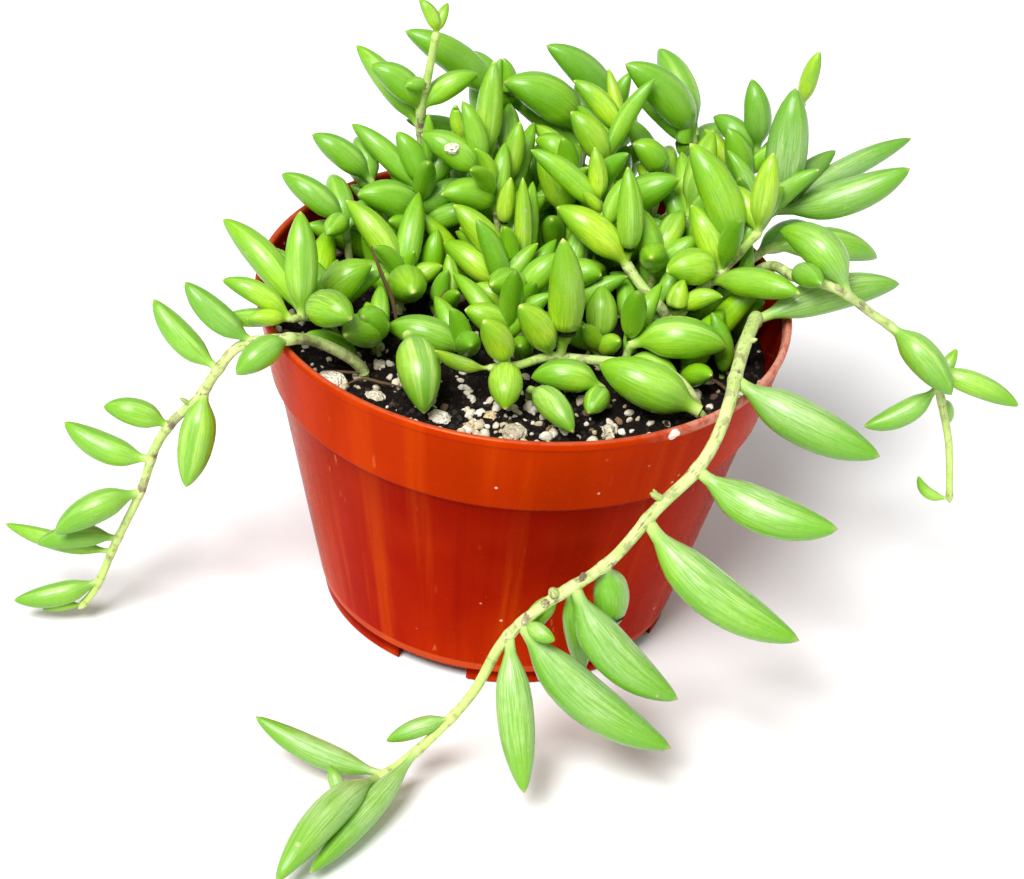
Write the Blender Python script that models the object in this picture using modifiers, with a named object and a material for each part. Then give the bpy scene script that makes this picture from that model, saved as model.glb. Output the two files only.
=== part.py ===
"""A potted string of fish hooks, at its real size, in metres.

A trailing succulent with banana-shaped leaves fills a round nursery pot. Most of its stems stand in a crowd
on the soil. Three long ones pass over the rim: one hangs down the front and runs out along the surface, one
falls to the surface at the left, and one hangs free at the right. The pot has a collar under its lip, a floor
with drain holes and five short feet. It holds dark soil with pale pumice stones.

The frame: +Z is up, +X is the viewer's right, +Y is away from the viewer, and the surface is at height 0. The
layout below is written in millimetres from the pot's axis, and is set in place by POT_AXIS.
"""
import math
from collections import namedtuple

import bmesh
import bpy
import numpy as np

MM = 0.001
POT_AXIS = (-0.5, 23.6)           # mm; it brings the middle of the whole plant's box to the origin

# The pot, in millimetres
LIP_RADIUS = 54.0
LIP_HEIGHT = 71.0
COLLAR_DEPTH = 18.4               # from the lip's top to the step in the wall
COLLAR_FOOT_RADIUS = 50.3
BODY_TOP_RADIUS = 49.0
BASE_RADIUS = 37.6
WALL = 1.3
FLOOR_UNDER = 3.2                 # the floor's underside, above the surface
FLOOR_TOP = 4.8
FOOT_OUTER, FOOT_INNER = 36.4, 33.4
FOOT_COUNT = 5
FOOT_GAP = 15.0                   # the space between two feet
FOOT_GAP_HEIGHT = 2.6
FIRST_GAP_TURN = -108.0           # degrees; the gap that shows at the front left
DRAIN_RADIUS = 4.0
DRAIN_RING = 22.0
DRAIN_SIDES = 12
STEP = LIP_HEIGHT - COLLAR_DEPTH  # the step's height
STEP_INSIDE = (-0.6, 1.4)         # where the wall's inner side starts and ends its step, from STEP up
FLOOR_ROUND = 1.6                 # the rounding between the floor and the wall, inside
LIP_ROUND = 0.4
LIP_BAND = 2.0                    # the height of the band round the lip
POT_SIDES = 40
SOIL_RINGS = 5

# The soil, in millimetres
SOIL_TOP = 60.0
SOIL_BUMP = 0.7                   # how far its top swells and sinks
FIT = 0.3                         # kept between two pieces that touch
STEM_DEPTH = 8.0                  # how deep each stem stands in the soil
HOLE_SIDES = 6
POCKET_FIT = 0.35                 # kept all round a stone
STONE_SEED = 40                   # draws the stones' corners
STONE_SINK = 0.1                  # how far a stone's middle lies under the soil's top, as a share of its size
STONE_REACH = 0.56                # the ball that holds a stone, as a share of its size

# The plant, in millimetres
GAP = 0.35                        # kept between a leaf and the pot, the soil or a stone
LEAF_GAP = 0.5                    # kept between a leaf and another shoot
OWN_OVERLAP = 1.0                 # how far two leaves of one shoot may sink into each other
LARGE_LEAF = 5.5                  # leaves this wide take their places before the small ones
TIP_TAPER = 0.6                   # a stem's thickness at its tip, as a share of that at its foot

Stone = namedtuple("Stone", "x y size colour")
STONES = [
    Stone(-36, -24, 8.0, "white"),
    Stone(-27, -27, 5.0, "grey"),
    Stone(-14, -31, 5.5, "white"),
    Stone(-8, -34, 4.5, "tan"),
    Stone(-4, -30, 4.5, "tan"),
    Stone(1, -35, 6.0, "grey"),
    Stone(16, -37, 4.5, "white"),
    Stone(19, -30, 6.5, "grey"),
    Stone(-10, 27, 7.5, "tan"),
    Stone(44, -12, 5.5, "grey"),
]

# A shoot: its name, its thickness at the foot, where it stands in the soil, the points that it runs
# through from there to its tip, and its leaves.
# A leaf: how far up its stem it grows (0 to 1), where its tip lies from its foot, how wide it is at the
# middle, and how far its middle arches up from the straight line between foot and tip.
Leaf = namedtuple("Leaf", "at reach width bow")
Shoot = namedtuple("Shoot", "name thick foot route leaves")


def leaf(at, reach, width, bow=1.5):
    return Leaf(at, reach, width, bow)


SHOOTS = [
    Shoot("trailer_front", 2.9, (44, -2), [(46, -3, 70), (46, -8, 75.5), (44, -18, 76.5), (42, -30, 75.2),
          (41, -37, 73.8), (39, -44, 70), (36, -49, 66), (29, -55, 60), (21, -60, 50), (10, -63, 41),
          (3, -65, 33), (-2, -67, 21), (-8, -70, 13), (-14, -74, 8), (-26, -84, 4)], [
        leaf(0.125, (31, 11, 3), 7.4, 2),
        leaf(0.29, (29, -8, -9), 9, -1.5),
        leaf(0.42, (27, -9, -4), 8.6, -3),
        leaf(0.5, (31, -10, -17), 9.4, -4),
        leaf(0.57, (2, 2, -17), 7),
        leaf(0.61, (22, -6, -20), 8.8, -4),
        leaf(0.685, (31, -7, -21), 9.2, -4),
        leaf(0.705, (6, -15, -26), 7.2, -1),
        leaf(0.68, (6, -4, -1), 3.4, -0.5),
        leaf(0.63, (-6, 3, -13), 4.2, 0.5),
        leaf(0.62, (5, 6, -24), 5, 0.5),
        leaf(0.83, (-12, -3, -5), 3.8, 0.5),
        leaf(0.93, (-26, 6, 6), 5.4, -2),
        leaf(0.94, (-16, -30, -2), 7, 4),
        leaf(0.885, (-17, -31, -6), 5.4, -1),
        leaf(0.99, (-3, 4, 5), 3, 0.5)]),
    Shoot("trailer_left", 2.5, (-30, -20), [(-39, -25, 70), (-45, -31, 73.8), (-54, -28, 69),
          (-58, -28, 63), (-61, -28, 57), (-67, -28, 49), (-69.5, -29, 44), (-72, -30, 34),
          (-77, -30, 20), (-81, -30, 8), (-84, -31, 3.5)], [
        leaf(0.34, (-14, 4, 9.5), 5.6, -1),
        leaf(0.43, (-14, 7, 10), 5.6, -1.5),
        leaf(0.48, (-2, -8, -18), 7.2, -1),
        leaf(0.58, (-13, 0, 3), 5.6, 1),
        leaf(0.65, (-18, 4, 4), 6, -2),
        leaf(0.72, (-16, -6, -8), 6.4),
        leaf(0.83, (-16, -2, -2), 5),
        leaf(0.86, (-23, 7, -1), 4, -1),
        leaf(0.93, (-17, -3, -5), 5, -1),
        leaf(0.99, (-8, -1, -1.5), 2.2, 0.5),
        leaf(0.27, (-10, -7, -4), 5.8, 1)]),
    Shoot("rim_shoot_left", 2.2, (-36, -10), [(-39, -15, 69), (-42, -21, 73), (-45, -25, 74.4)], [
        leaf(0.85, (-18, 12, 13), 6.2, 2),
        leaf(0.88, (-2, 8, 19), 6.6, 1),
        leaf(0.97, (-14, 2, 6), 4.6),
        leaf(0.99, (-14, -2, 1), 3.8, 0.5),
        leaf(0.99, (-8, -3, 1), 3.4, 0.5),
        leaf(0.8, (9, -9, 6), 7.6, 2)]),
    Shoot("trailer_right", 2.4, (41, 14), [(45, 14, 71), (49, 10, 77), (53, 2, 80), (61, -4, 81.7),
          (65, -3, 79), (69.5, -1, 74.8), (73.5, -1, 72.4), (78, -1, 68.5), (85, -1, 59.5),
          (87, -1, 54), (89.5, -1, 46), (92, -1, 31.5)], [
        leaf(0.46, (-14, 10, 7), 8, 4),
        leaf(0.34, (5, -13, 2), 5, 1),
        leaf(0.58, (13, -5, -12), 7, 1),
        leaf(0.7, (19, -2, -5), 5, 1),
        leaf(0.74, (-14, -5, -8), 5, -2),
        leaf(0.74, (3, 4, 7), 3, 0.5),
        leaf(0.77, (2, 2, -9), 3, 0.5),
        leaf(0.99, (-7, 1, 4), 2.4, -2)]),
    Shoot("creeping_shoot", 2.6, (36, -20), [(30, -17, 66), (22, -15, 66), (12, -15, 66), (6, -17, 67),
          (0, -22, 67.5), (-6, -25, 68)], [
        leaf(0.7, (-2, 0, 27), 7.2, 1),
        leaf(0.74, (-7, -3, 13), 6.4, 1),
        leaf(0.93, (-5, -3, 12), 6, 1),
        leaf(0.99, (-13, -3, 3), 3, -1),
        leaf(0.93, (1, -12, -2), 6.8)]),
    Shoot("front_right", 2.2, (38, -26), [(36, -27, 65)], [
        leaf(0.95, (-21, 4, 3), 9.6, 0.5)]),
    Shoot("window_shoot", 2.2, (-20, -16), [(-22, -20, 71)], [
        leaf(0.97, (5, -15, -8), 8.6, 3),
        leaf(0.75, (6, -11, -4), 3.6, 1)]),
    Shoot("front_middle", 2.2, (18, -21), [(17, -23, 65)], [
        leaf(0.95, (-14, -2, 1), 6.6, 2),
        leaf(0.8, (-3, -9, 1), 5, 1)]),
    Shoot("front_low", 2.0, (3, -22), [(3, -26, 65)], [
        leaf(0.95, (9, -12, -1), 5.8)]),
    Shoot("centre_shoot", 2.8, (29, -5), [(29, 0, 68), (23, 6, 72), (17, 12, 77), (14, 16, 81),
          (12, 18, 85)], [
        leaf(0.95, (-2, 2, 12), 4, 0.5),
        leaf(0.9, (-5, 0, 6), 2.6, 0.5),
        leaf(0.65, (-15, 6, 10), 7)]),
    Shoot("right_shoot", 2.8, (27, -9), [(29, -5, 68), (33, 1, 72), (39, 6, 77), (43, 8, 82),
          (46, 9, 86)], [
        leaf(0.97, (1, 3, 17), 5.4, 0.5),
        leaf(0.97, (-7, 1, 8), 4.4, 1),
        leaf(0.84, (-12, 6, 21), 8, 2),
        leaf(0.74, (-6, 4, 13), 6.2, 1),
        leaf(0.7, (-10, -6, 4), 7.6, 2),
        leaf(0.68, (17, -11, 6), 6.2, 1),
        leaf(0.48, (8, -2, 6), 4),
        leaf(0.46, (1, 2, 8), 4.4)]),
    Shoot("spotted_shoot", 2.2, (21, -10), [(22, -11, 69)], [
        leaf(0.95, (19, -1, 2), 8.6, 2),
        leaf(0.7, (15, -5, 0), 5.6, 1)]),
    Shoot("left_middle", 2.2, (-25, 4), [(-25, 8, 66)], [
        leaf(0.95, (-13, 7, 14), 6, 2),
        leaf(0.8, (3, -12, 8), 8, 2),
        leaf(0.95, (2, -2, 9), 3, 0.5),
        leaf(0.9, (7, 0, 7), 4.6, 0.5)]),
    Shoot("left_front_a", 2.2, (-39, -4), [(-40, -8, 67)], [
        leaf(0.85, (9, 1, 12), 7.6, 2),
        leaf(0.95, (-2, -3, 13), 5, 1),
        leaf(0.8, (-4, 7, 9), 6, 1)]),
    Shoot("left_front_b", 2.2, (-28, -11), [(-28, -15, 65)], [
        leaf(0.9, (-6, -11, 8), 7, 2),
        leaf(0.95, (-3, -7, 10), 6.5),
        leaf(0.95, (2, 5, 7), 4, 0.5)]),
    Shoot("long_leaf", 2.2, (-11, -13), [(-10, -14, 65)], [
        leaf(0.92, (-16, -3, 3), 7)]),
    Shoot("middle_c", 2.0, (-5, 4), [(-4, 10, 71)], [
        leaf(0.95, (-12, 3, 12), 5.8, 1),
        leaf(0.75, (-13, 6, 6), 6.2, 1)]),
    Shoot("middle_g", 2.0, (-4, -8), [(-2, -9, 66)], [
        leaf(0.92, (-9, -2, 7), 6)]),
    Shoot("middle_f", 2.0, (0, 0), [(-1, 3, 69)], [
        leaf(0.97, (-6, -9, 7), 6.4),
        leaf(0.7, (-10, 1, 6), 5, 1)]),
    Shoot("middle_e", 1.8, (-16, 2), [(-14, 3, 66)], [
        leaf(0.95, (-2, 3, 9), 3.4, 0.5)]),
    Shoot("middle_b", 1.8, (1, 8), [(-1, 12, 68)], [
        leaf(0.95, (-2, 4, 21), 3.8, 0.5)]),
    Shoot("middle_a", 1.8, (-2, 14), [(-6, 17, 76)], [
        leaf(0.95, (0.5, 1, 12), 3.8, 0.5),
        leaf(0.7, (-9, 0, 8), 5)]),
    Shoot("middle_h", 1.8, (8, 4), [(8, 8, 71)], [
        leaf(0.92, (7, -4, 5), 6),
        leaf(0.97, (8, 5, 0), 4, 1)]),
    Shoot("middle_i", 2.0, (16, -8), [(16, -6, 66)], [
        leaf(0.92, (-1, 4, 11), 6.4, 1),
        leaf(0.8, (-4, -6, 9), 4, 0.5),
        leaf(0.8, (2, -6, 11), 5, 0.5)]),
    Shoot("middle_j", 2.0, (22, 0), [(23, 1, 66)], [
        leaf(0.92, (0, -2, 10), 5, 1),
        leaf(0.92, (3, 4, 14), 4.6, 1)]),
    Shoot("middle_k", 2.0, (25, 12), [(26, 12, 74)], [
        leaf(0.85, (-5, 3, 14), 5.6, 1),
        leaf(0.9, (-4, -9, 11), 6),
        leaf(0.97, (1, 8, 11), 5.4)]),
    Shoot("centre_back_c", 2.0, (32, 20), [(32, 25, 79)], [
        leaf(0.95, (-5, 5, 13), 4.6, 0.5),
        leaf(0.9, (-1, 9, 11), 4.2, 0.5),
        leaf(0.97, (3, 8, 16), 6)]),
    Shoot("centre_back_b", 2.0, (17, 26), [(16, 26, 74)], [
        leaf(0.95, (13, -2, 14), 7.4, 2),
        leaf(0.9, (6, 6, 10), 4.6, 1)]),
    Shoot("centre_back_a", 2.0, (24, 33), [(26, 35, 82)], [
        leaf(0.97, (-7, -2, 8), 5.8),
        leaf(0.85, (-3, 3, 6), 4, 1),
        leaf(0.8, (2, 12, 6), 5.5)]),
    Shoot("left_back_a", 2.0, (-21, 22), [(-23, 24, 72), (-23, 26, 77), (-22, 28, 84)], [
        leaf(0.75, (-16, 6, 11.5), 5, 1),
        leaf(0.78, (-8, 2, 11), 5.4, 1),
        leaf(0.9, (-3, 4, 12), 2.8, 0.5),
        leaf(0.6, (-13, -7, 8), 7.4, 2),
        leaf(0.6, (4, 3, 11), 5)]),
    Shoot("curl_shoot", 1.8, (-6, 21), [(-8, 21, 78), (-11, 22, 83), (-15, 27, 89)], [
        leaf(0.99, (-3, 1, 8), 3, -1),
        leaf(0.8, (-13, 1, 8), 6.4),
        leaf(0.62, (-10, -4, 9), 6.4, 2),
        leaf(0.7, (-4, -1, 11), 3.2)]),
    Shoot("upright_a", 2.0, (-13, 34), [(-11, 28, 78), (-11, 27, 86)], [
        leaf(0.95, (0, 5, 21), 5.6, 0.5),
        leaf(0.9, (1, 11, 17), 4.2, 1)]),
    Shoot("upright_b", 1.8, (-3, 29), [(-6, 28, 82)], [
        leaf(0.9, (1, 2, 14), 4.6, 0.5),
        leaf(0.97, (-4, 10, 13), 5)]),
    Shoot("middle_d", 2.0, (5, 24), [(6, 27, 76), (7, 33, 84)], [
        leaf(0.65, (-6, 2, 14), 5, 0.5),
        leaf(0.95, (-8, 1, 5), 5.8),
        leaf(0.99, (-9, 6, 6), 3.6, 1)]),
    Shoot("fork_shoot", 2.2, (12, 19), [(11, 25, 77), (14, 31, 85), (17, 34, 91)], [
        leaf(0.97, (-11, 2, 11), 4.8),
        leaf(0.97, (-4, 5, 13), 3, 0.5),
        leaf(0.99, (0.5, 1, 5), 1.8, 0.3),
        leaf(0.8, (-8, 1, 12), 6.2),
        leaf(0.74, (-7, 9, 15), 3.8, 1)]),
    Shoot("left_back_b", 2.2, (-36, 14), [(-38, 16, 74)], [
        leaf(0.95, (-14, 4, 8), 5.8, 1),
        leaf(0.97, (-3, -9, 2), 4.6, 1),
        leaf(0.9, (3, 6, 11), 5.2),
        leaf(0.85, (-5, 13, 6), 5.5, 2)]),
    Shoot("left_back_c", 2.0, (-32, 27), [(-34, 28, 78)], [
        leaf(0.95, (-13, 1, 9), 5.8, 1),
        leaf(0.9, (-2, 8, 8), 5),
        leaf(0.8, (-8, 14, 4), 5.5, 2)]),
    Shoot("tall_shoot", 2.6, (-23, 35), [(-24, 33, 80), (-25, 31, 93), (-24, 30, 102), (-23, 30, 112)], [
        leaf(0.98, (-4, 1, 7), 3, 1),
        leaf(0.98, (1, 2, 6.5), 2.4, 0.5),
        leaf(0.78, (-3, -1, 4.5), 3.2, 0.5),
        leaf(0.68, (11, 3, 8), 5.2),
        leaf(0.6, (-15, 9, 13), 5.4, 1),
        leaf(0.67, (-11, -1, 10), 6.2, 2)]),
    Shoot("pale_shoot", 2.4, (37, 22), [(45, 25, 76), (51, 28, 81)], [
        leaf(0.97, (0, 4, 26), 8.6, 1),
        leaf(0.95, (26, 2, 12), 7.6, -2),
        leaf(0.85, (14, 13, 11), 5.2, 1),
        leaf(0.97, (26, 20, 13), 5, 1)]),
    Shoot("right_back", 2.2, (37, 14), [(44, 17, 72), (51, 22, 76)], [
        leaf(0.9, (24, 9, -1), 7, 2.5),
        leaf(0.8, (12, 16, 4), 6, 2)]),
    Shoot("back_e", 2.2, (34, 28), [(41, 33, 77), (45, 38, 88)], [
        leaf(0.99, (-3, 3, 15), 5.8, 1),
        leaf(0.75, (-4, 0, 15), 6),
        leaf(0.95, (-8, -1, 9), 5.4),
        leaf(0.9, (-5, 8, 10), 4.6)]),
    Shoot("back_d", 2.4, (27, 37), [(30, 40, 78), (32, 42, 88)], [
        leaf(0.95, (-16, -3, 18), 8.2, 2.5),
        leaf(0.99, (-10, 9, 16), 7, 2),
        leaf(0.75, (6, 14, 5), 6.4, 2)]),
    Shoot("back_c", 2.2, (17, 41), [(16, 45, 80), (15, 46, 88)], [
        leaf(0.97, (-16, -2, 17), 7, 2.5),
        leaf(0.75, (2, 15, 4), 6, 2)]),
    Shoot("back_b", 2.2, (8, 38), [(9, 42, 78), (8, 44, 85)], [
        leaf(0.97, (-17, -5, 13), 9, 3),
        leaf(0.85, (-16, 6, 11), 6, 2),
        leaf(0.8, (4, 15, 4), 6, 2)]),
    Shoot("back_a", 2.2, (-11, 41), [(-10, 44, 80), (-9, 45, 90)], [
        leaf(0.97, (-21, -1, 15), 7, 2),
        leaf(0.9, (-7, 8, 10), 6, 2),
        leaf(0.7, (-18, -8, 9), 5, 1),
        leaf(0.8, (6, 14, 6), 6, 2)]),
    Shoot("far_right_shoot", 1.8, (31, 30), [(35, 34, 73), (44, 42, 82), (54, 45, 96)], [
        leaf(0.98, (2, 1, 13), 3.8, 0.5),
        leaf(0.6, (-5, 8, 8), 4, 1)]),
]


def smooth_route(points, step=1.0):
    """A smooth curve through a route's points, with a point about every step millimetres."""
    p = np.array(points, float)
    p = np.vstack([2 * p[0] - p[1], p, 2 * p[-1] - p[-2]])
    out = []
    for a, b, c, d in zip(p[:-3], p[1:-2], p[2:-1], p[3:]):
        t1 = math.sqrt(np.linalg.norm(b - a))
        t2 = t1 + math.sqrt(np.linalg.norm(c - b))
        t3 = t2 + math.sqrt(np.linalg.norm(d - c))
        count = max(2, math.ceil(np.linalg.norm(c - b) / step))
        t = t1 + (t2 - t1) * np.arange(count)[:, None] / count
        ab = (t1 - t) / t1 * a + t / t1 * b
        bc = (t2 - t) / (t2 - t1) * b + (t - t1) / (t2 - t1) * c
        cd = (t3 - t) / (t3 - t2) * c + (t - t2) / (t3 - t2) * d
        abc = (t2 - t) / t2 * ab + t / t2 * bc
        bcd = (t3 - t) / (t3 - t1) * bc + (t - t1) / (t3 - t1) * cd
        out.append((t2 - t) / (t2 - t1) * abc + (t - t1) / (t2 - t1) * bcd)
    return np.vstack(out + [p[-2:-1]])


def stem_path(shoot):
    """The stem's middle line: straight up out of its hole, and on through the points of its route."""
    x, y = shoot.foot
    path = smooth_route([(x, y, SOIL_TOP - STEM_DEPTH), (x, y, SOIL_TOP + 1), *shoot.route])
    path[:round(STEM_DEPTH) + 1, :2] = shoot.foot
    return path


def along(path, share):
    """The point at a share (0 to 1) of a path's length."""
    lengths = np.linalg.norm(np.diff(path, axis=0), axis=1)
    run = np.concatenate([[0], np.cumsum(lengths)])
    return np.array([np.interp(share * run[-1], run, path[:, k]) for k in range(3)])


def stem_radius(shoot, count):
    return shoot.thick / 2 * np.linspace(1, TIP_TAPER, count)


GIRTH_PLACES = [0, 0.1, 0.2, 0.32, 0.46, 0.62, 0.76, 0.88, 0.96, 1.0]
GIRTH_SHARES = [0.26, 0.30, 0.60, 0.90, 1.0, 0.96, 0.80, 0.53, 0.26, 0.04]


def girth(place):
    """A leaf's thickness along its length: a thin stalk, a plump middle and a pointed tip."""
    return np.interp(place, GIRTH_PLACES, GIRTH_SHARES)


def leaf_axis(foot, reach, bow, place):
    """Points on a leaf's middle line, which arches by its bow."""
    chord = reach / np.linalg.norm(reach)
    up = np.array([0, 0, 1.0]) - chord[2] * chord
    up = up / max(np.linalg.norm(up), 1e-9)
    place = np.asarray(place, float)[:, None]
    return foot + reach * place + up * bow * 4 * place * (1 - place)


def soil_height(x, y):
    return SOIL_TOP + SOIL_BUMP * np.sin(0.21 * x + 1.0) * np.cos(0.17 * y - 0.5)


# The middle of the pot's wall, as radius and height, from the base to the lip
WALL_LINE = np.array([
    (BASE_RADIUS - 2, FLOOR_UNDER),
    (BASE_RADIUS + 0.3, 8.0),
    (BODY_TOP_RADIUS - WALL / 2, STEP),
    (COLLAR_FOOT_RADIUS, STEP + 2.4),
    (LIP_RADIUS - WALL / 2, LIP_HEIGHT - 1.0)])


def wall_gap(points, radius):
    """How far balls of this radius at these points lie from the pot's wall."""
    flat = np.stack([np.hypot(points[:, 0], points[:, 1]), points[:, 2]], 1)
    nearest = np.full(len(flat), np.inf)
    for a, b in zip(WALL_LINE[:-1], WALL_LINE[1:]):
        share = np.clip(((flat - a) @ (b - a)) / ((b - a) @ (b - a)), 0, 1)
        nearest = np.minimum(nearest, np.linalg.norm(flat - a - share[:, None] * (b - a), axis=1))
    return nearest - WALL - radius


def stone_ball(stone):
    """A ball that holds the stone."""
    height = soil_height(stone.x, stone.y) - STONE_SINK * stone.size
    return np.array([stone.x, stone.y, height]), STONE_REACH * stone.size


def fixed_gap(points, radius):
    """How far balls lie, at the nearest, from the pot, the soil, the stones and the surface below."""
    gap = np.minimum(wall_gap(points, radius), points[:, 2] - radius)
    over_soil = (np.hypot(points[:, 0], points[:, 1]) < LIP_RADIUS - WALL) & (points[:, 2] > STEP)
    above = points[:, 2] - radius - soil_height(points[:, 0], points[:, 1])
    gap = np.minimum(gap, np.where(over_soil, above, np.inf))
    for stone in STONES:
        centre, size = stone_ball(stone)
        gap = np.minimum(gap, np.linalg.norm(points - centre, axis=1) - size - radius)
    return gap.min()


def ball_gap(points, radius, others, other_radius):
    """The narrowest gap between two groups of balls."""
    if not len(others):
        return np.inf
    apart = np.linalg.norm(points[:, None] - others[None], axis=2)
    return (apart - radius[:, None] - other_radius[None]).min()


def leans(widest=56, step=8, lengths=(1.0, 0.85, 0.7)):
    """The ways a leaf may lean from where it is asked to lie, least first, with its share of length kept.

    Each is a turn and a lift in degrees. The leaf keeps its full length where it can.
    """
    angles = range(-widest, widest + 1, step)
    pairs = [(turn, lift) for turn in angles for lift in angles if math.hypot(turn, lift) <= widest + 1]
    pairs.sort(key=lambda pair: (round(math.hypot(*pair), 3), pair[1], pair[0]))
    return [(turn, lift, size) for size in lengths for turn, lift in pairs]


def lean(reach, turn, lift):
    """The reach turned about the vertical and lifted, in degrees."""
    flat = math.hypot(reach[0], reach[1])
    size = math.hypot(flat, reach[2])
    heading = math.atan2(reach[1], reach[0]) + math.radians(turn)
    rise = math.atan2(reach[2], flat) + math.radians(lift)
    ahead = math.cos(rise)
    return size * np.array([ahead * math.cos(heading), ahead * math.sin(heading), math.sin(rise)])


PLACES = np.linspace(0.06, 1, 14)     # where along a leaf its clearance is tested
OUTER = PLACES > 0.4                  # past its stalk, where it keeps clear of its own stem's leaves
TIPWARD = PLACES > 0.45               # where it keeps clear of its own stem


def settle():
    """Each leaf's foot, reach, bow and width, leaned just enough to clear every other piece.

    Large leaves take their places first. A leaf that finds no clear place is left out.
    """
    paths = [stem_path(shoot) for shoot in SHOOTS]
    balls = np.vstack(paths)
    sizes = np.concatenate([stem_radius(shoot, len(path)) for shoot, path in zip(SHOOTS, paths)])
    owner = np.concatenate([np.full(len(path), n) for n, path in enumerate(paths)])
    kind = np.zeros(len(balls), int)              # 0 stem, 1 a leaf's stalk, 2 the rest of a leaf
    todo = [(n, k) for n, shoot in enumerate(SHOOTS) for k in range(len(shoot.leaves))]
    todo.sort(key=lambda item: SHOOTS[item[0]].leaves[item[1]].width < LARGE_LEAF)
    settled = {}
    for n, k in todo:
        asked = SHOOTS[n].leaves[k]
        foot = along(paths[n], asked.at)
        near = np.linalg.norm(balls - foot, axis=1) < sizes + math.dist(asked.reach, (0, 0, 0)) + asked.width
        other = near & (owner != n)
        own_leaf = near & (owner == n) & (kind == 2)
        own_stem = near & (owner == n) & (kind == 0)
        found = None
        for keep_off_own in (True, False):
            for turn, lift, size in leans():
                reach = lean(asked.reach, turn, lift) * size
                width = asked.width * (1 + size) / 2
                points = leaf_axis(foot, reach, asked.bow * size, PLACES)
                radius = width / 2 * girth(PLACES)
                if fixed_gap(points[1:], radius[1:]) < GAP:
                    continue
                if ball_gap(points, radius, balls[other], sizes[other]) < LEAF_GAP:
                    continue
                if keep_off_own:
                    outer = points[OUTER], radius[OUTER]
                    if ball_gap(*outer, balls[own_leaf], sizes[own_leaf]) < -OWN_OVERLAP:
                        continue
                    tipward = points[TIPWARD], radius[TIPWARD]
                    if ball_gap(*tipward, balls[own_stem], sizes[own_stem]) < 0:
                        continue
                found = (foot, reach, asked.bow * size, width)
                break
            if found:
                break
        if not found:
            continue
        settled[n, k] = found
        balls = np.vstack([balls, points])
        sizes = np.concatenate([sizes, radius])
        owner = np.concatenate([owner, np.full(len(points), n)])
        kind = np.concatenate([kind, np.where(OUTER, 2, 1)])
    return paths, settled


def place(points):
    """Layout points, in millimetres from the pot's axis, as points of the scene in metres."""
    points = np.atleast_2d(np.asarray(points, float))
    return (points + np.array([*POT_AXIS, 0.0])) * MM


def clear_scene():
    for item in list(bpy.data.objects):
        bpy.data.objects.remove(item, do_unlink=True)


def new_collection(name):
    found = bpy.data.collections.new(name)
    bpy.context.scene.collection.children.link(found)
    return found


def material(name, colour, roughness):
    made = bpy.data.materials.new(name)
    made.use_nodes = True
    shader = made.node_tree.nodes["Principled BSDF"]
    shader.inputs["Base Color"].default_value = (*colour, 1.0)
    shader.inputs["Roughness"].default_value = roughness
    shader.inputs["Metallic"].default_value = 0.0
    made.diffuse_color = (*colour, 1.0)
    return made


def add_object(name, mesh, collection, finish=None):
    made = bpy.data.objects.new(name, mesh)
    collection.objects.link(made)
    if finish:
        mesh.materials.clear()
        mesh.materials.append(finish)
    return made


def applied(item):
    """The object with its modifiers applied."""
    bpy.context.view_layer.update()
    shape = bpy.data.meshes.new_from_object(item.evaluated_get(bpy.context.evaluated_depsgraph_get()))
    item.modifiers.clear()
    item.data = shape
    return item


def turned(name, profile, sides, collection, finish=None):
    """A solid of revolution about the pot's axis: the profile is (radius, height) pairs in millimetres."""
    mesh = bpy.data.meshes.new(name)
    points = [(radius * MM, 0.0, height * MM) for radius, height in profile]
    mesh.from_pydata(points, [(k, k + 1) for k in range(len(points) - 1)], [])
    item = add_object(name, mesh, collection, finish)
    item.location = (POT_AXIS[0] * MM, POT_AXIS[1] * MM, 0.0)
    screw = item.modifiers.new("turn", "SCREW")
    screw.steps = screw.render_steps = sides
    screw.use_merge_vertices = True
    screw.merge_threshold = 1e-6
    screw.use_normal_calculate = True
    applied(item)
    if finish:
        item.data.materials.clear()
        item.data.materials.append(finish)
    return item


def cylinder(name, x, y, low, high, radius, sides, collection, turn=0.0):
    mesh = bpy.data.meshes.new(name)
    shape = bmesh.new()
    bmesh.ops.create_cone(shape, cap_ends=True, segments=sides, radius1=radius * MM, radius2=radius * MM,
                          depth=(high - low) * MM)
    shape.to_mesh(mesh)
    shape.free()
    item = add_object(name, mesh, collection)
    item.location = place((x, y, (low + high) / 2))[0]
    item.rotation_euler.z = turn
    return as_cutter(item)


def as_cutter(item):
    item.hide_render = True
    item.display_type = "WIRE"
    return item


def combine(item, others, operation):
    """One Boolean of the object with a collection, applied; the collection's objects are then removed."""
    union = item.modifiers.new("combine", "BOOLEAN")
    union.operation = operation
    union.operand_type = "COLLECTION"
    union.collection = others
    union.solver = "EXACT"
    applied(item)
    for used in list(others.objects):
        bpy.data.objects.remove(used, do_unlink=True)
    bpy.data.collections.remove(others)
    return item


def wall_slope():
    """How far the body widens for each millimetre of height."""
    return (BODY_TOP_RADIUS - BASE_RADIUS) / (STEP - FLOOR_TOP)


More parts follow.
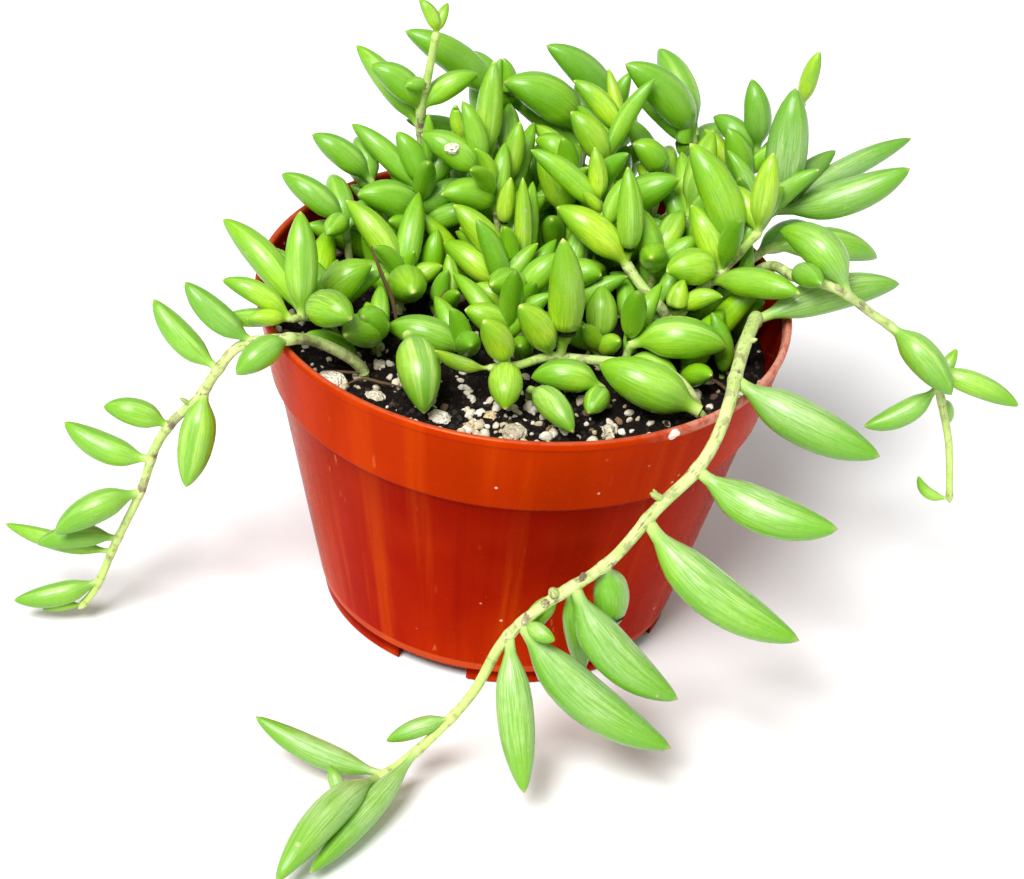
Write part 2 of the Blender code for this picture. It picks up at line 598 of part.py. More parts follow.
def pot_profile():
    inner_floor = BASE_RADIUS - WALL
    return [
        (0.0, FLOOR_TOP),
        (inner_floor - FLOOR_ROUND, FLOOR_TOP),
        (inner_floor + wall_slope() * FLOOR_ROUND, FLOOR_TOP + FLOOR_ROUND),
        (BODY_TOP_RADIUS - WALL, STEP + STEP_INSIDE[0]),
        (COLLAR_FOOT_RADIUS - WALL, STEP + STEP_INSIDE[1]),
        (LIP_RADIUS - WALL - 0.1, LIP_HEIGHT - 0.5),
        (LIP_RADIUS - WALL + 0.3, LIP_HEIGHT),
        (LIP_RADIUS - LIP_ROUND, LIP_HEIGHT),
        (LIP_RADIUS, LIP_HEIGHT - LIP_ROUND),
        (LIP_RADIUS, LIP_HEIGHT - LIP_BAND + LIP_ROUND),
        (LIP_RADIUS - LIP_ROUND, LIP_HEIGHT - LIP_BAND),
        (COLLAR_FOOT_RADIUS, STEP + 0.6),
        (COLLAR_FOOT_RADIUS - 0.4, STEP),
        (BODY_TOP_RADIUS, STEP - 0.3),
        (BASE_RADIUS, FLOOR_TOP),
        (BASE_RADIUS - 0.5, FLOOR_UNDER),
        (FOOT_OUTER, FOOT_GAP_HEIGHT),
        (FOOT_OUTER, 0.0),
        (FOOT_INNER, 0.0),
        (FOOT_INNER, FLOOR_UNDER),
        (0.0, FLOOR_UNDER)]


def make_pot(parts, finish):
    """The pot: one turned wall, with the gaps between its feet and the drain holes cut from it."""
    pot = turned("pot", pot_profile(), POT_SIDES, parts, finish)
    cuts = new_collection("pot cuts")
    middle = (FOOT_OUTER + FOOT_INNER) / 2
    for k in range(FOOT_COUNT):
        turn = math.radians(FIRST_GAP_TURN + k * 360 / FOOT_COUNT)
        mesh = bpy.data.meshes.new("foot gap")
        shape = bmesh.new()
        bmesh.ops.create_cube(shape, size=1.0)
        bmesh.ops.scale(shape, vec=(2 * MM * (FOOT_OUTER - FOOT_INNER + 1), FOOT_GAP * MM,
                                    2 * FOOT_GAP_HEIGHT * MM), verts=shape.verts)
        shape.to_mesh(mesh)
        shape.free()
        gap = as_cutter(add_object("foot gap", mesh, cuts))
        gap.location = place((middle * math.cos(turn), middle * math.sin(turn), 0))[0]
        gap.rotation_euler.z = turn
        hole_turn = turn + math.radians(180 / FOOT_COUNT)
        cylinder("drain", DRAIN_RING * math.cos(hole_turn), DRAIN_RING * math.sin(hole_turn),
                 FLOOR_UNDER - 2, FLOOR_TOP + 2, DRAIN_RADIUS, DRAIN_SIDES, cuts)
    return combine(pot, cuts, "DIFFERENCE")


def stone_mesh(name, stone, number, grow=0.0):
    """A rough pebble: a ball pushed in and out by a seeded draw, grown by a few tenths for its pocket."""
    rng = np.random.default_rng(STONE_SEED + number)
    mesh = bpy.data.meshes.new(name)
    shape = bmesh.new()
    bmesh.ops.create_icosphere(shape, subdivisions=1, radius=1.0)
    stretch = np.array([1.0, rng.uniform(0.74, 0.9), rng.uniform(0.66, 0.8)])
    turn = rng.uniform(0, math.pi)
    for corner in shape.verts:
        size = stone.size / 2 * rng.uniform(0.88, 1.06) + grow
        x, y, z = np.array(corner.co) * stretch * size * MM
        corner.co = (x * math.cos(turn) - y * math.sin(turn), x * math.sin(turn) + y * math.cos(turn), z)
    shape.to_mesh(mesh)
    shape.free()
    return mesh


def add_stone(name, stone, number, collection, finish=None, grow=0.0):
    item = add_object(name, stone_mesh(name, stone, number, grow), collection, finish)
    item.location = place(stone_ball(stone)[0])[0]
    return item


def make_stones(parts, finishes):
    for number, stone in enumerate(STONES, 1):
        add_stone(f"pumice_{number}", stone, number, parts, finishes[stone.colour])


def soil_profile():
    """The pot's inner side, kept FIT from it, closed by the soil's top."""
    low, high = STEP + STEP_INSIDE[1], LIP_HEIGHT - 0.5
    share = (SOIL_TOP - low) / (high - low)
    edge = COLLAR_FOOT_RADIUS - WALL + share * (LIP_RADIUS - 0.1 - COLLAR_FOOT_RADIUS) - FIT
    inner_floor = BASE_RADIUS - WALL - FIT
    return [(radius, SOIL_TOP) for radius in np.linspace(0, edge - 0.1, SOIL_RINGS)] + [
        (COLLAR_FOOT_RADIUS - WALL - FIT, low),
        (BODY_TOP_RADIUS - WALL - FIT, STEP + STEP_INSIDE[0]),
        (inner_floor + wall_slope() * FLOOR_ROUND, FLOOR_TOP + FLOOR_ROUND + FIT),
        (inner_floor - FLOOR_ROUND, FLOOR_TOP + FIT),
        (0.0, FLOOR_TOP + FIT)]


def make_soil(parts, finish):
    """The soil: it fills the pot, and its uneven top has a hole for each stem and a pocket for each stone."""
    soil = turned("soil", soil_profile(), POT_SIDES, parts, finish)
    for corner in soil.data.vertices:
        if corner.co.z > (SOIL_TOP - 1) * MM:
            x, y = corner.co.x / MM, corner.co.y / MM
            corner.co.z = soil_height(x, y) * MM
    cuts = new_collection("soil cuts")
    for shoot in SHOOTS:
        radius = (shoot.thick / 2 + FIT) / math.cos(math.pi / HOLE_SIDES)
        cylinder(f"hole {shoot.name}", *shoot.foot, SOIL_TOP - STEM_DEPTH - FIT, SOIL_TOP + 6, radius,
                 HOLE_SIDES, cuts)
    for number, stone in enumerate(STONES, 1):
        as_cutter(add_stone(f"pocket {number}", stone, number, cuts, grow=POCKET_FIT))
    return combine(soil, cuts, "DIFFERENCE")


# Where along a leaf its corners lie; it ends in a single point
LARGE_RINGS = [0.0, 0.25, 0.5, 0.78, 1.0]
SMALL_RINGS = [0.0, 0.35, 0.7, 1.0]
STEM_SLACK = 0.3                  # mm; how far a stem's straight runs may lie from its curve


def tube(name, points, radius, collection):
    """A tapered tube along points in millimetres, as a closed mesh."""
    curve = bpy.data.curves.new(name, "CURVE")
    curve.dimensions = "3D"
    curve.bevel_depth = MM
    curve.bevel_resolution = 1
    curve.use_fill_caps = True
    spline = curve.splines.new("POLY")
    spline.points.add(len(points) - 1)
    for corner, spot, size in zip(spline.points, place(points), radius):
        corner.co = (*spot, 1.0)
        corner.radius = size
    wire = bpy.data.objects.new(name, curve)
    collection.objects.link(wire)
    bpy.context.view_layer.update()
    mesh = bpy.data.meshes.new_from_object(wire.evaluated_get(bpy.context.evaluated_depsgraph_get()))
    matrix = wire.matrix_world.copy()
    bpy.data.objects.remove(wire, do_unlink=True)
    shape = bmesh.new()
    shape.from_mesh(mesh)
    bmesh.ops.remove_doubles(shape, verts=shape.verts, dist=1e-6)
    shape.to_mesh(mesh)
    shape.free()
    item = add_object(name, mesh, collection)
    item.matrix_world = matrix
    return item


def corners(path, first, last):
    """The indexes from first on that keep the path within STEM_SLACK of the straight runs between them."""
    run = path[last] - path[first]
    stretch = path[first:last] - path[first]
    share = np.clip(stretch @ run / (run @ run), 0, 1)
    off = np.linalg.norm(stretch - share[:, None] * run, axis=1)
    if off.max() <= STEM_SLACK:
        return [first]
    middle = first + int(off.argmax())
    return corners(path, first, middle) + corners(path, middle, last)


def stem_points(shoot, path):
    """The stem's corners: the two ends of its straight run in the soil, and then where it bends."""
    last = len(path) - 1
    kept = [0] + corners(path, round(STEM_DEPTH) + 1, last) + [last]
    return path[kept], stem_radius(shoot, len(path))[kept]


def make_shoots(parts, finish):
    """Each leafy stem is one body: its leaves are sunk into the stem and joined to it by one union."""
    paths, settled = settle()
    for n, (shoot, path) in enumerate(zip(SHOOTS, paths)):
        stem = tube(shoot.name, *stem_points(shoot, path), parts)
        leaves = new_collection(f"{shoot.name} leaves")
        for k in range(len(shoot.leaves)):
            if (n, k) in settled:
                foot, reach, bow, width = settled[n, k]
                rings = LARGE_RINGS if width >= LARGE_LEAF else SMALL_RINGS
                radius = width / 2 * girth(rings)
                radius[-1] = 0
                tube("leaf", leaf_axis(foot, reach, bow, rings), radius, leaves)
        combine(stem, leaves, "UNION")
        stem.data.materials.clear()
        stem.data.materials.append(finish)


def main():
    clear_scene()
    parts = new_collection("potted_string_of_fish_hooks")
    plastic = material("terracotta_plastic", (0.62, 0.10, 0.025), 0.3)
    earth = material("potting_soil", (0.02, 0.014, 0.01), 0.95)
    green = material("leaf_green", (0.17, 0.34, 0.06), 0.42)
    pumice = {"white": material("pumice_white", (0.75, 0.73, 0.68), 0.9),
              "grey": material("pumice_grey", (0.42, 0.40, 0.34), 0.9),
              "tan": material("pumice_tan", (0.55, 0.45, 0.28), 0.9)}
    make_pot(parts, plastic)
    make_soil(parts, earth)
    make_stones(parts, pumice)
    make_shoots(parts, green)


main()
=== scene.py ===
"""Dresses a potted string of fish hooks: a trailing succulent in a round terracotta-coloured nursery pot.

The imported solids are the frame. Every leafy stem, the pot, the soil and the stones are replaced by finer
pieces of the same form, and the small litter on the soil is added. Sizes are millimetres, and places are
counted from the pot's axis at the surface below; place() turns them into the frame's metres.
"""
import math
from collections import namedtuple

import bmesh
import bpy
import numpy as np
from bpy.props import FloatProperty, FloatVectorProperty, IntProperty, PointerProperty
from mathutils import Matrix, Vector, noise


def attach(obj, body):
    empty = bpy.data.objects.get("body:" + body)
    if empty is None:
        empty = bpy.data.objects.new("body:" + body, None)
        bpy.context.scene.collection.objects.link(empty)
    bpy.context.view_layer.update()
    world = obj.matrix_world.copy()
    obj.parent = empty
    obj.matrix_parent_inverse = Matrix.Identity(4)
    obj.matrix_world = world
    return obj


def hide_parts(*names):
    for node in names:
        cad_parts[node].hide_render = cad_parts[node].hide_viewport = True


bl_info = {
    "name": "Potted string of fish hooks",
    "version": (1, 0, 0),
    "blender": (4, 5, 0),
    "location": "3D View > Sidebar > Fish hooks",
    "description": "Builds a trailing succulent in its nursery pot, with soil, stones and studio",
    "category": "Object",
}

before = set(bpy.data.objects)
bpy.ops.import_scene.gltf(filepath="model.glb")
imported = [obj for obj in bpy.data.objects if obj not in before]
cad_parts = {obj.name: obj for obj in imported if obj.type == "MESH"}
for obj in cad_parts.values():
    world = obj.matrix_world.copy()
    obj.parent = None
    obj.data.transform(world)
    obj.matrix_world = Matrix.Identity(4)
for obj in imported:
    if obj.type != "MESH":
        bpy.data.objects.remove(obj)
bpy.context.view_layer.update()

MM = 0.001
POT_AXIS = (-0.5, 23.6)           # mm; it brings the middle of the whole plant's box to the origin

# The pot, in millimetres
LIP_RADIUS = 54.0
LIP_HEIGHT = 71.0
COLLAR_DEPTH = 18.4               # from the lip's top to the step in the wall
COLLAR_FOOT_RADIUS = 50.3
BODY_TOP_RADIUS = 49.0
BASE_RADIUS = 37.6
WALL = 1.3
FLOOR_UNDER = 3.2                 # the floor's underside, above the surface
FLOOR_TOP = 4.8
FOOT_OUTER, FOOT_INNER = 36.4, 33.4
FOOT_COUNT = 5
FOOT_GAP = 15.0                   # the space between two feet
FOOT_GAP_HEIGHT = 2.6
FIRST_GAP_TURN = -108.0           # degrees; the gap that shows at the front left
DRAIN_RADIUS = 4.0
DRAIN_RING = 22.0
STEP = LIP_HEIGHT - COLLAR_DEPTH  # the step's height
STEP_INSIDE = (-0.6, 1.4)         # where the wall's inner side starts and ends its step, from STEP up
FLOOR_ROUND = 1.6                 # the rounding between the floor and the wall, inside
LIP_ROUND = 0.4
LIP_BAND = 2.0                    # the height of the band round the lip

# The soil, in millimetres
SOIL_TOP = 60.0
SOIL_BUMP = 0.7                   # how far its top swells and sinks
FIT = 0.3                         # kept between two pieces that touch
STEM_DEPTH = 8.0                  # how deep each stem stands in the soil
STONE_SEED = 40                   # draws the stones' corners
STONE_SINK = 0.1                  # how far a stone's middle lies under the soil's top, as a share of its size
STONE_REACH = 0.56                # the ball that holds a stone, as a share of its size

# The plant, in millimetres
GAP = 0.35                        # kept between a leaf and the pot, the soil or a stone
LEAF_GAP = 0.5                    # kept between a leaf and another shoot
OWN_OVERLAP = 1.0                 # how far two leaves of one shoot may sink into each other
LARGE_LEAF = 5.5                  # leaves this wide take their places before the small ones
TIP_TAPER = 0.6                   # a stem's thickness at its tip, as a share of that at its foot

Stone = namedtuple("Stone", "x y size colour")
STONES = [
    Stone(-36, -24, 8.0, "white"),
    Stone(-27, -27, 5.0, "grey"),
    Stone(-14, -31, 5.5, "white"),
    Stone(-8, -34, 4.5, "tan"),
    Stone(-4, -30, 4.5, "tan"),
    Stone(1, -35, 6.0, "grey"),
    Stone(16, -37, 4.5, "white"),
    Stone(19, -30, 6.5, "grey"),
    Stone(-10, 27, 7.5, "tan"),
    Stone(44, -12, 5.5, "grey"),
]

# A shoot: its name, its thickness at the foot, where it stands in the soil, the points that it runs
# through from there to its tip, and its leaves.
# A leaf: how far up its stem it grows (0 to 1), where its tip lies from its foot, how wide it is at the
# middle, and how far its middle arches up from the straight line between foot and tip.
Leaf = namedtuple("Leaf", "at reach width bow")
Shoot = namedtuple("Shoot", "name thick foot route leaves")


def leaf(at, reach, width, bow=1.5):
    return Leaf(at, reach, width, bow)


SHOOTS = [
    Shoot("trailer_front", 2.9, (44, -2), [(46, -3, 70), (46, -8, 75.5), (44, -18, 76.5), (42, -30, 75.2),
          (41, -37, 73.8), (39, -44, 70), (36, -49, 66), (29, -55, 60), (21, -60, 50), (10, -63, 41),
          (3, -65, 33), (-2, -67, 21), (-8, -70, 13), (-14, -74, 8), (-26, -84, 4)], [
        leaf(0.125, (31, 11, 3), 7.4, 2), leaf(0.29, (29, -8, -9), 9, -1.5),
        leaf(0.42, (27, -9, -4), 8.6, -3), leaf(0.5, (31, -10, -17), 9.4, -4),
        leaf(0.57, (2, 2, -17), 7), leaf(0.61, (22, -6, -20), 8.8, -4),
        leaf(0.685, (31, -7, -21), 9.2, -4), leaf(0.705, (6, -15, -26), 7.2, -1),
        leaf(0.68, (6, -4, -1), 3.4, -0.5), leaf(0.63, (-6, 3, -13), 4.2, 0.5),
        leaf(0.62, (5, 6, -24), 5, 0.5), leaf(0.83, (-12, -3, -5), 3.8, 0.5),
        leaf(0.93, (-26, 6, 6), 5.4, -2), leaf(0.94, (-16, -30, -2), 7, 4),
        leaf(0.885, (-17, -31, -6), 5.4, -1), leaf(0.99, (-3, 4, 5), 3, 0.5)]),
    Shoot("trailer_left", 2.5, (-30, -20), [(-39, -25, 70), (-45, -31, 73.8), (-54, -28, 69),
          (-58, -28, 63), (-61, -28, 57), (-67, -28, 49), (-69.5, -29, 44), (-72, -30, 34),
          (-77, -30, 20), (-81, -30, 8), (-84, -31, 3.5)], [
        leaf(0.34, (-14, 4, 9.5), 5.6, -1), leaf(0.43, (-14, 7, 10), 5.6, -1.5),
        leaf(0.48, (-2, -8, -18), 7.2, -1), leaf(0.58, (-13, 0, 3), 5.6, 1),
        leaf(0.65, (-18, 4, 4), 6, -2), leaf(0.72, (-16, -6, -8), 6.4), leaf(0.83, (-16, -2, -2), 5),
        leaf(0.86, (-23, 7, -1), 4, -1), leaf(0.93, (-17, -3, -5), 5, -1),
        leaf(0.99, (-8, -1, -1.5), 2.2, 0.5), leaf(0.27, (-10, -7, -4), 5.8, 1)]),
    Shoot("rim_shoot_left", 2.2, (-36, -10), [(-39, -15, 69), (-42, -21, 73), (-45, -25, 74.4)], [
        leaf(0.85, (-18, 12, 13), 6.2, 2), leaf(0.88, (-2, 8, 19), 6.6, 1),
        leaf(0.97, (-14, 2, 6), 4.6), leaf(0.99, (-14, -2, 1), 3.8, 0.5),
        leaf(0.99, (-8, -3, 1), 3.4, 0.5), leaf(0.8, (9, -9, 6), 7.6, 2)]),
    Shoot("trailer_right", 2.4, (41, 14), [(45, 14, 71), (49, 10, 77), (53, 2, 80), (61, -4, 81.7),
          (65, -3, 79), (69.5, -1, 74.8), (73.5, -1, 72.4), (78, -1, 68.5), (85, -1, 59.5),
          (87, -1, 54), (89.5, -1, 46), (92, -1, 31.5)], [
        leaf(0.46, (-14, 10, 7), 8, 4), leaf(0.34, (5, -13, 2), 5, 1), leaf(0.58, (13, -5, -12), 7, 1),
        leaf(0.7, (19, -2, -5), 5, 1), leaf(0.74, (-14, -5, -8), 5, -2), leaf(0.74, (3, 4, 7), 3, 0.5),
        leaf(0.77, (2, 2, -9), 3, 0.5), leaf(0.99, (-7, 1, 4), 2.4, -2)]),
    Shoot("creeping_shoot", 2.6, (36, -20), [(30, -17, 66), (22, -15, 66), (12, -15, 66), (6, -17, 67),
          (0, -22, 67.5), (-6, -25, 68)], [
        leaf(0.7, (-2, 0, 27), 7.2, 1), leaf(0.74, (-7, -3, 13), 6.4, 1),
        leaf(0.93, (-5, -3, 12), 6, 1), leaf(0.99, (-13, -3, 3), 3, -1),
        leaf(0.93, (1, -12, -2), 6.8)]),
    Shoot("front_right", 2.2, (38, -26), [(36, -27, 65)], [
        leaf(0.95, (-21, 4, 3), 9.6, 0.5)]),
    Shoot("window_shoot", 2.2, (-20, -16), [(-22, -20, 71)], [
        leaf(0.97, (5, -15, -8), 8.6, 3), leaf(0.75, (6, -11, -4), 3.6, 1)]),
    Shoot("front_middle", 2.2, (18, -21), [(17, -23, 65)], [
        leaf(0.95, (-14, -2, 1), 6.6, 2), leaf(0.8, (-3, -9, 1), 5, 1)]),
    Shoot("front_low", 2.0, (3, -22), [(3, -26, 65)], [
        leaf(0.95, (9, -12, -1), 5.8)]),
    Shoot("centre_shoot", 2.8, (29, -5), [(29, 0, 68), (23, 6, 72), (17, 12, 77), (14, 16, 81),
          (12, 18, 85)], [
        leaf(0.95, (-2, 2, 12), 4, 0.5), leaf(0.9, (-5, 0, 6), 2.6, 0.5), leaf(0.65, (-15, 6, 10), 7)]),
    Shoot("right_shoot", 2.8, (27, -9), [(29, -5, 68), (33, 1, 72), (39, 6, 77), (43, 8, 82),
          (46, 9, 86)], [
        leaf(0.97, (1, 3, 17), 5.4, 0.5), leaf(0.97, (-7, 1, 8), 4.4, 1),
        leaf(0.84, (-12, 6, 21), 8, 2), leaf(0.74, (-6, 4, 13), 6.2, 1),
        leaf(0.7, (-10, -6, 4), 7.6, 2), leaf(0.68, (17, -11, 6), 6.2, 1), leaf(0.48, (8, -2, 6), 4),
        leaf(0.46, (1, 2, 8), 4.4)]),
    Shoot("spotted_shoot", 2.2, (21, -10), [(22, -11, 69)], [
        leaf(0.95, (19, -1, 2), 8.6, 2), leaf(0.7, (15, -5, 0), 5.6, 1)]),
    Shoot("left_middle", 2.2, (-25, 4), [(-25, 8, 66)], [
        leaf(0.95, (-13, 7, 14), 6, 2), leaf(0.8, (3, -12, 8), 8, 2), leaf(0.95, (2, -2, 9), 3, 0.5),
        leaf(0.9, (7, 0, 7), 4.6, 0.5)]),
    Shoot("left_front_a", 2.2, (-39, -4), [(-40, -8, 67)], [
        leaf(0.85, (9, 1, 12), 7.6, 2), leaf(0.95, (-2, -3, 13), 5, 1), leaf(0.8, (-4, 7, 9), 6, 1)]),
    Shoot("left_front_b", 2.2, (-28, -11), [(-28, -15, 65)], [
        leaf(0.9, (-6, -11, 8), 7, 2), leaf(0.95, (-3, -7, 10), 6.5), leaf(0.95, (2, 5, 7), 4, 0.5)]),
    Shoot("long_leaf", 2.2, (-11, -13), [(-10, -14, 65)], [
        leaf(0.92, (-16, -3, 3), 7)]),
    Shoot("middle_c", 2.0, (-5, 4), [(-4, 10, 71)], [
        leaf(0.95, (-12, 3, 12), 5.8, 1), leaf(0.75, (-13, 6, 6), 6.2, 1)]),
    Shoot("middle_g", 2.0, (-4, -8), [(-2, -9, 66)], [
        leaf(0.92, (-9, -2, 7), 6)]),
    Shoot("middle_f", 2.0, (0, 0), [(-1, 3, 69)], [
        leaf(0.97, (-6, -9, 7), 6.4), leaf(0.7, (-10, 1, 6), 5, 1)]),
    Shoot("middle_e", 1.8, (-16, 2), [(-14, 3, 66)], [
        leaf(0.95, (-2, 3, 9), 3.4, 0.5)]),
    Shoot("middle_b", 1.8, (1, 8), [(-1, 12, 68)], [
        leaf(0.95, (-2, 4, 21), 3.8, 0.5)]),
    Shoot("middle_a", 1.8, (-2, 14), [(-6, 17, 76)], [
        leaf(0.95, (0.5, 1, 12), 3.8, 0.5), leaf(0.7, (-9, 0, 8), 5)]),
    Shoot("middle_h", 1.8, (8, 4), [(8, 8, 71)], [
        leaf(0.92, (7, -4, 5), 6), leaf(0.97, (8, 5, 0), 4, 1)]),
    Shoot("middle_i", 2.0, (16, -8), [(16, -6, 66)], [
        leaf(0.92, (-1, 4, 11), 6.4, 1), leaf(0.8, (-4, -6, 9), 4, 0.5),
        leaf(0.8, (2, -6, 11), 5, 0.5)]),
    Shoot("middle_j", 2.0, (22, 0), [(23, 1, 66)], [
        leaf(0.92, (0, -2, 10), 5, 1), leaf(0.92, (3, 4, 14), 4.6, 1)]),
    Shoot("middle_k", 2.0, (25, 12), [(26, 12, 74)], [
        leaf(0.85, (-5, 3, 14), 5.6, 1), leaf(0.9, (-4, -9, 11), 6), leaf(0.97, (1, 8, 11), 5.4)]),
    Shoot("centre_back_c", 2.0, (32, 20), [(32, 25, 79)], [
        leaf(0.95, (-5, 5, 13), 4.6, 0.5), leaf(0.9, (-1, 9, 11), 4.2, 0.5),
        leaf(0.97, (3, 8, 16), 6)]),
    Shoot("centre_back_b", 2.0, (17, 26), [(16, 26, 74)], [
        leaf(0.95, (13, -2, 14), 7.4, 2), leaf(0.9, (6, 6, 10), 4.6, 1)]),
    Shoot("centre_back_a", 2.0, (24, 33), [(26, 35, 82)], [
        leaf(0.97, (-7, -2, 8), 5.8), leaf(0.85, (-3, 3, 6), 4, 1), leaf(0.8, (2, 12, 6), 5.5)]),
    Shoot("left_back_a", 2.0, (-21, 22), [(-23, 24, 72), (-23, 26, 77), (-22, 28, 84)], [
        leaf(0.75, (-16, 6, 11.5), 5, 1), leaf(0.78, (-8, 2, 11), 5.4, 1),
        leaf(0.9, (-3, 4, 12), 2.8, 0.5), leaf(0.6, (-13, -7, 8), 7.4, 2), leaf(0.6, (4, 3, 11), 5)]),
    Shoot("curl_shoot", 1.8, (-6, 21), [(-8, 21, 78), (-11, 22, 83), (-15, 27, 89)], [
        leaf(0.99, (-3, 1, 8), 3, -1), leaf(0.8, (-13, 1, 8), 6.4), leaf(0.62, (-10, -4, 9), 6.4, 2),
        leaf(0.7, (-4, -1, 11), 3.2)]),
    Shoot("upright_a", 2.0, (-13, 34), [(-11, 28, 78), (-11, 27, 86)], [
        leaf(0.95, (0, 5, 21), 5.6, 0.5), leaf(0.9, (1, 11, 17), 4.2, 1)]),
    Shoot("upright_b", 1.8, (-3, 29), [(-6, 28, 82)], [
        leaf(0.9, (1, 2, 14), 4.6, 0.5), leaf(0.97, (-4, 10, 13), 5)]),
    Shoot("middle_d", 2.0, (5, 24), [(6, 27, 76), (7, 33, 84)], [
        leaf(0.65, (-6, 2, 14), 5, 0.5), leaf(0.95, (-8, 1, 5), 5.8), leaf(0.99, (-9, 6, 6), 3.6, 1)]),
    Shoot("fork_shoot", 2.2, (12, 19), [(11, 25, 77), (14, 31, 85), (17, 34, 91)], [
        leaf(0.97, (-11, 2, 11), 4.8), leaf(0.97, (-4, 5, 13), 3, 0.5),
        leaf(0.99, (0.5, 1, 5), 1.8, 0.3), leaf(0.8, (-8, 1, 12), 6.2),
        leaf(0.74, (-7, 9, 15), 3.8, 1)]),
    Shoot("left_back_b", 2.2, (-36, 14), [(-38, 16, 74)], [
        leaf(0.95, (-14, 4, 8), 5.8, 1), leaf(0.97, (-3, -9, 2), 4.6, 1), leaf(0.9, (3, 6, 11), 5.2),
        leaf(0.85, (-5, 13, 6), 5.5, 2)]),
    Shoot("left_back_c", 2.0, (-32, 27), [(-34, 28, 78)], [
        leaf(0.95, (-13, 1, 9), 5.8, 1), leaf(0.9, (-2, 8, 8), 5), leaf(0.8, (-8, 14, 4), 5.5, 2)]),
    Shoot("tall_shoot", 2.6, (-23, 35), [(-24, 33, 80), (-25, 31, 93), (-24, 30, 102), (-23, 30, 112)], [
        leaf(0.98, (-4, 1, 7), 3, 1), leaf(0.98, (1, 2, 6.5), 2.4, 0.5),
        leaf(0.78, (-3, -1, 4.5), 3.2, 0.5), leaf(0.68, (11, 3, 8), 5.2),
        leaf(0.6, (-15, 9, 13), 5.4, 1), leaf(0.67, (-11, -1, 10), 6.2, 2)]),
    Shoot("pale_shoot", 2.4, (37, 22), [(45, 25, 76), (51, 28, 81)], [
        leaf(0.97, (0, 4, 26), 8.6, 1), leaf(0.95, (26, 2, 12), 7.6, -2),
        leaf(0.85, (14, 13, 11), 5.2, 1), leaf(0.97, (26, 20, 13), 5, 1)]),
    Shoot("right_back", 2.2, (37, 14), [(44, 17, 72), (51, 22, 76)], [
        leaf(0.9, (24, 9, -1), 7, 2.5), leaf(0.8, (12, 16, 4), 6, 2)]),
    Shoot("back_e", 2.2, (34, 28), [(41, 33, 77), (45, 38, 88)], [
        leaf(0.99, (-3, 3, 15), 5.8, 1), leaf(0.75, (-4, 0, 15), 6), leaf(0.95, (-8, -1, 9), 5.4),
        leaf(0.9, (-5, 8, 10), 4.6)]),
    Shoot("back_d", 2.4, (27, 37), [(30, 40, 78), (32, 42, 88)], [
        leaf(0.95, (-16, -3, 18), 8.2, 2.5), leaf(0.99, (-10, 9, 16), 7, 2),
        leaf(0.75, (6, 14, 5), 6.4, 2)]),
    Shoot("back_c", 2.2, (17, 41), [(16, 45, 80), (15, 46, 88)], [
        leaf(0.97, (-16, -2, 17), 7, 2.5), leaf(0.75, (2, 15, 4), 6, 2)]),
    Shoot("back_b", 2.2, (8, 38), [(9, 42, 78), (8, 44, 85)], [
        leaf(0.97, (-17, -5, 13), 9, 3), leaf(0.85, (-16, 6, 11), 6, 2), leaf(0.8, (4, 15, 4), 6, 2)]),
    Shoot("back_a", 2.2, (-11, 41), [(-10, 44, 80), (-9, 45, 90)], [
        leaf(0.97, (-21, -1, 15), 7, 2), leaf(0.9, (-7, 8, 10), 6, 2), leaf(0.7, (-18, -8, 9), 5, 1),
        leaf(0.8, (6, 14, 6), 6, 2)]),
    Shoot("far_right_shoot", 1.8, (31, 30), [(35, 34, 73), (44, 42, 82), (54, 45, 96)], [
        leaf(0.98, (2, 1, 13), 3.8, 0.5), leaf(0.6, (-5, 8, 8), 4, 1)]),
]


def smooth_route(points, step=1.0):
    """A smooth curve through a route's points, with a point about every step millimetres."""
    p = np.array(points, float)
    p = np.vstack([2 * p[0] - p[1], p, 2 * p[-1] - p[-2]])
    out = []
    for a, b, c, d in zip(p[:-3], p[1:-2], p[2:-1], p[3:]):
        t1 = math.sqrt(np.linalg.norm(b - a))
        t2 = t1 + math.sqrt(np.linalg.norm(c - b))
        t3 = t2 + math.sqrt(np.linalg.norm(d - c))
        count = max(2, math.ceil(np.linalg.norm(c - b) / step))
        t = t1 + (t2 - t1) * np.arange(count)[:, None] / count
        ab = (t1 - t) / t1 * a + t / t1 * b
        bc = (t2 - t) / (t2 - t1) * b + (t - t1) / (t2 - t1) * c
        cd = (t3 - t) / (t3 - t2) * c + (t - t2) / (t3 - t2) * d
        abc = (t2 - t) / t2 * ab + t / t2 * bc
        bcd = (t3 - t) / (t3 - t1) * bc + (t - t1) / (t3 - t1) * cd
        out.append((t2 - t) / (t2 - t1) * abc + (t - t1) / (t2 - t1) * bcd)
    return np.vstack(out + [p[-2:-1]])


def stem_path(shoot):
    """The stem's middle line: straight up out of its hole, and on through the points of its route."""
    x, y = shoot.foot
    path = smooth_route([(x, y, SOIL_TOP - STEM_DEPTH), (x, y, SOIL_TOP + 1), *shoot.route])
    path[:round(STEM_DEPTH) + 1, :2] = shoot.foot
    return path


def along(path, share):
    """The point at a share (0 to 1) of a path's length."""
    lengths = np.linalg.norm(np.diff(path, axis=0), axis=1)
    run = np.concatenate([[0], np.cumsum(lengths)])
    return np.array([np.interp(share * run[-1], run, path[:, k]) for k in range(3)])


def stem_radius(shoot, count):
    return shoot.thick / 2 * np.linspace(1, TIP_TAPER, count)


GIRTH_PLACES = [0, 0.1, 0.2, 0.32, 0.46, 0.62, 0.76, 0.88, 0.96, 1.0]
GIRTH_SHARES = [0.26, 0.30, 0.60, 0.90, 1.0, 0.96, 0.80, 0.53, 0.26, 0.04]


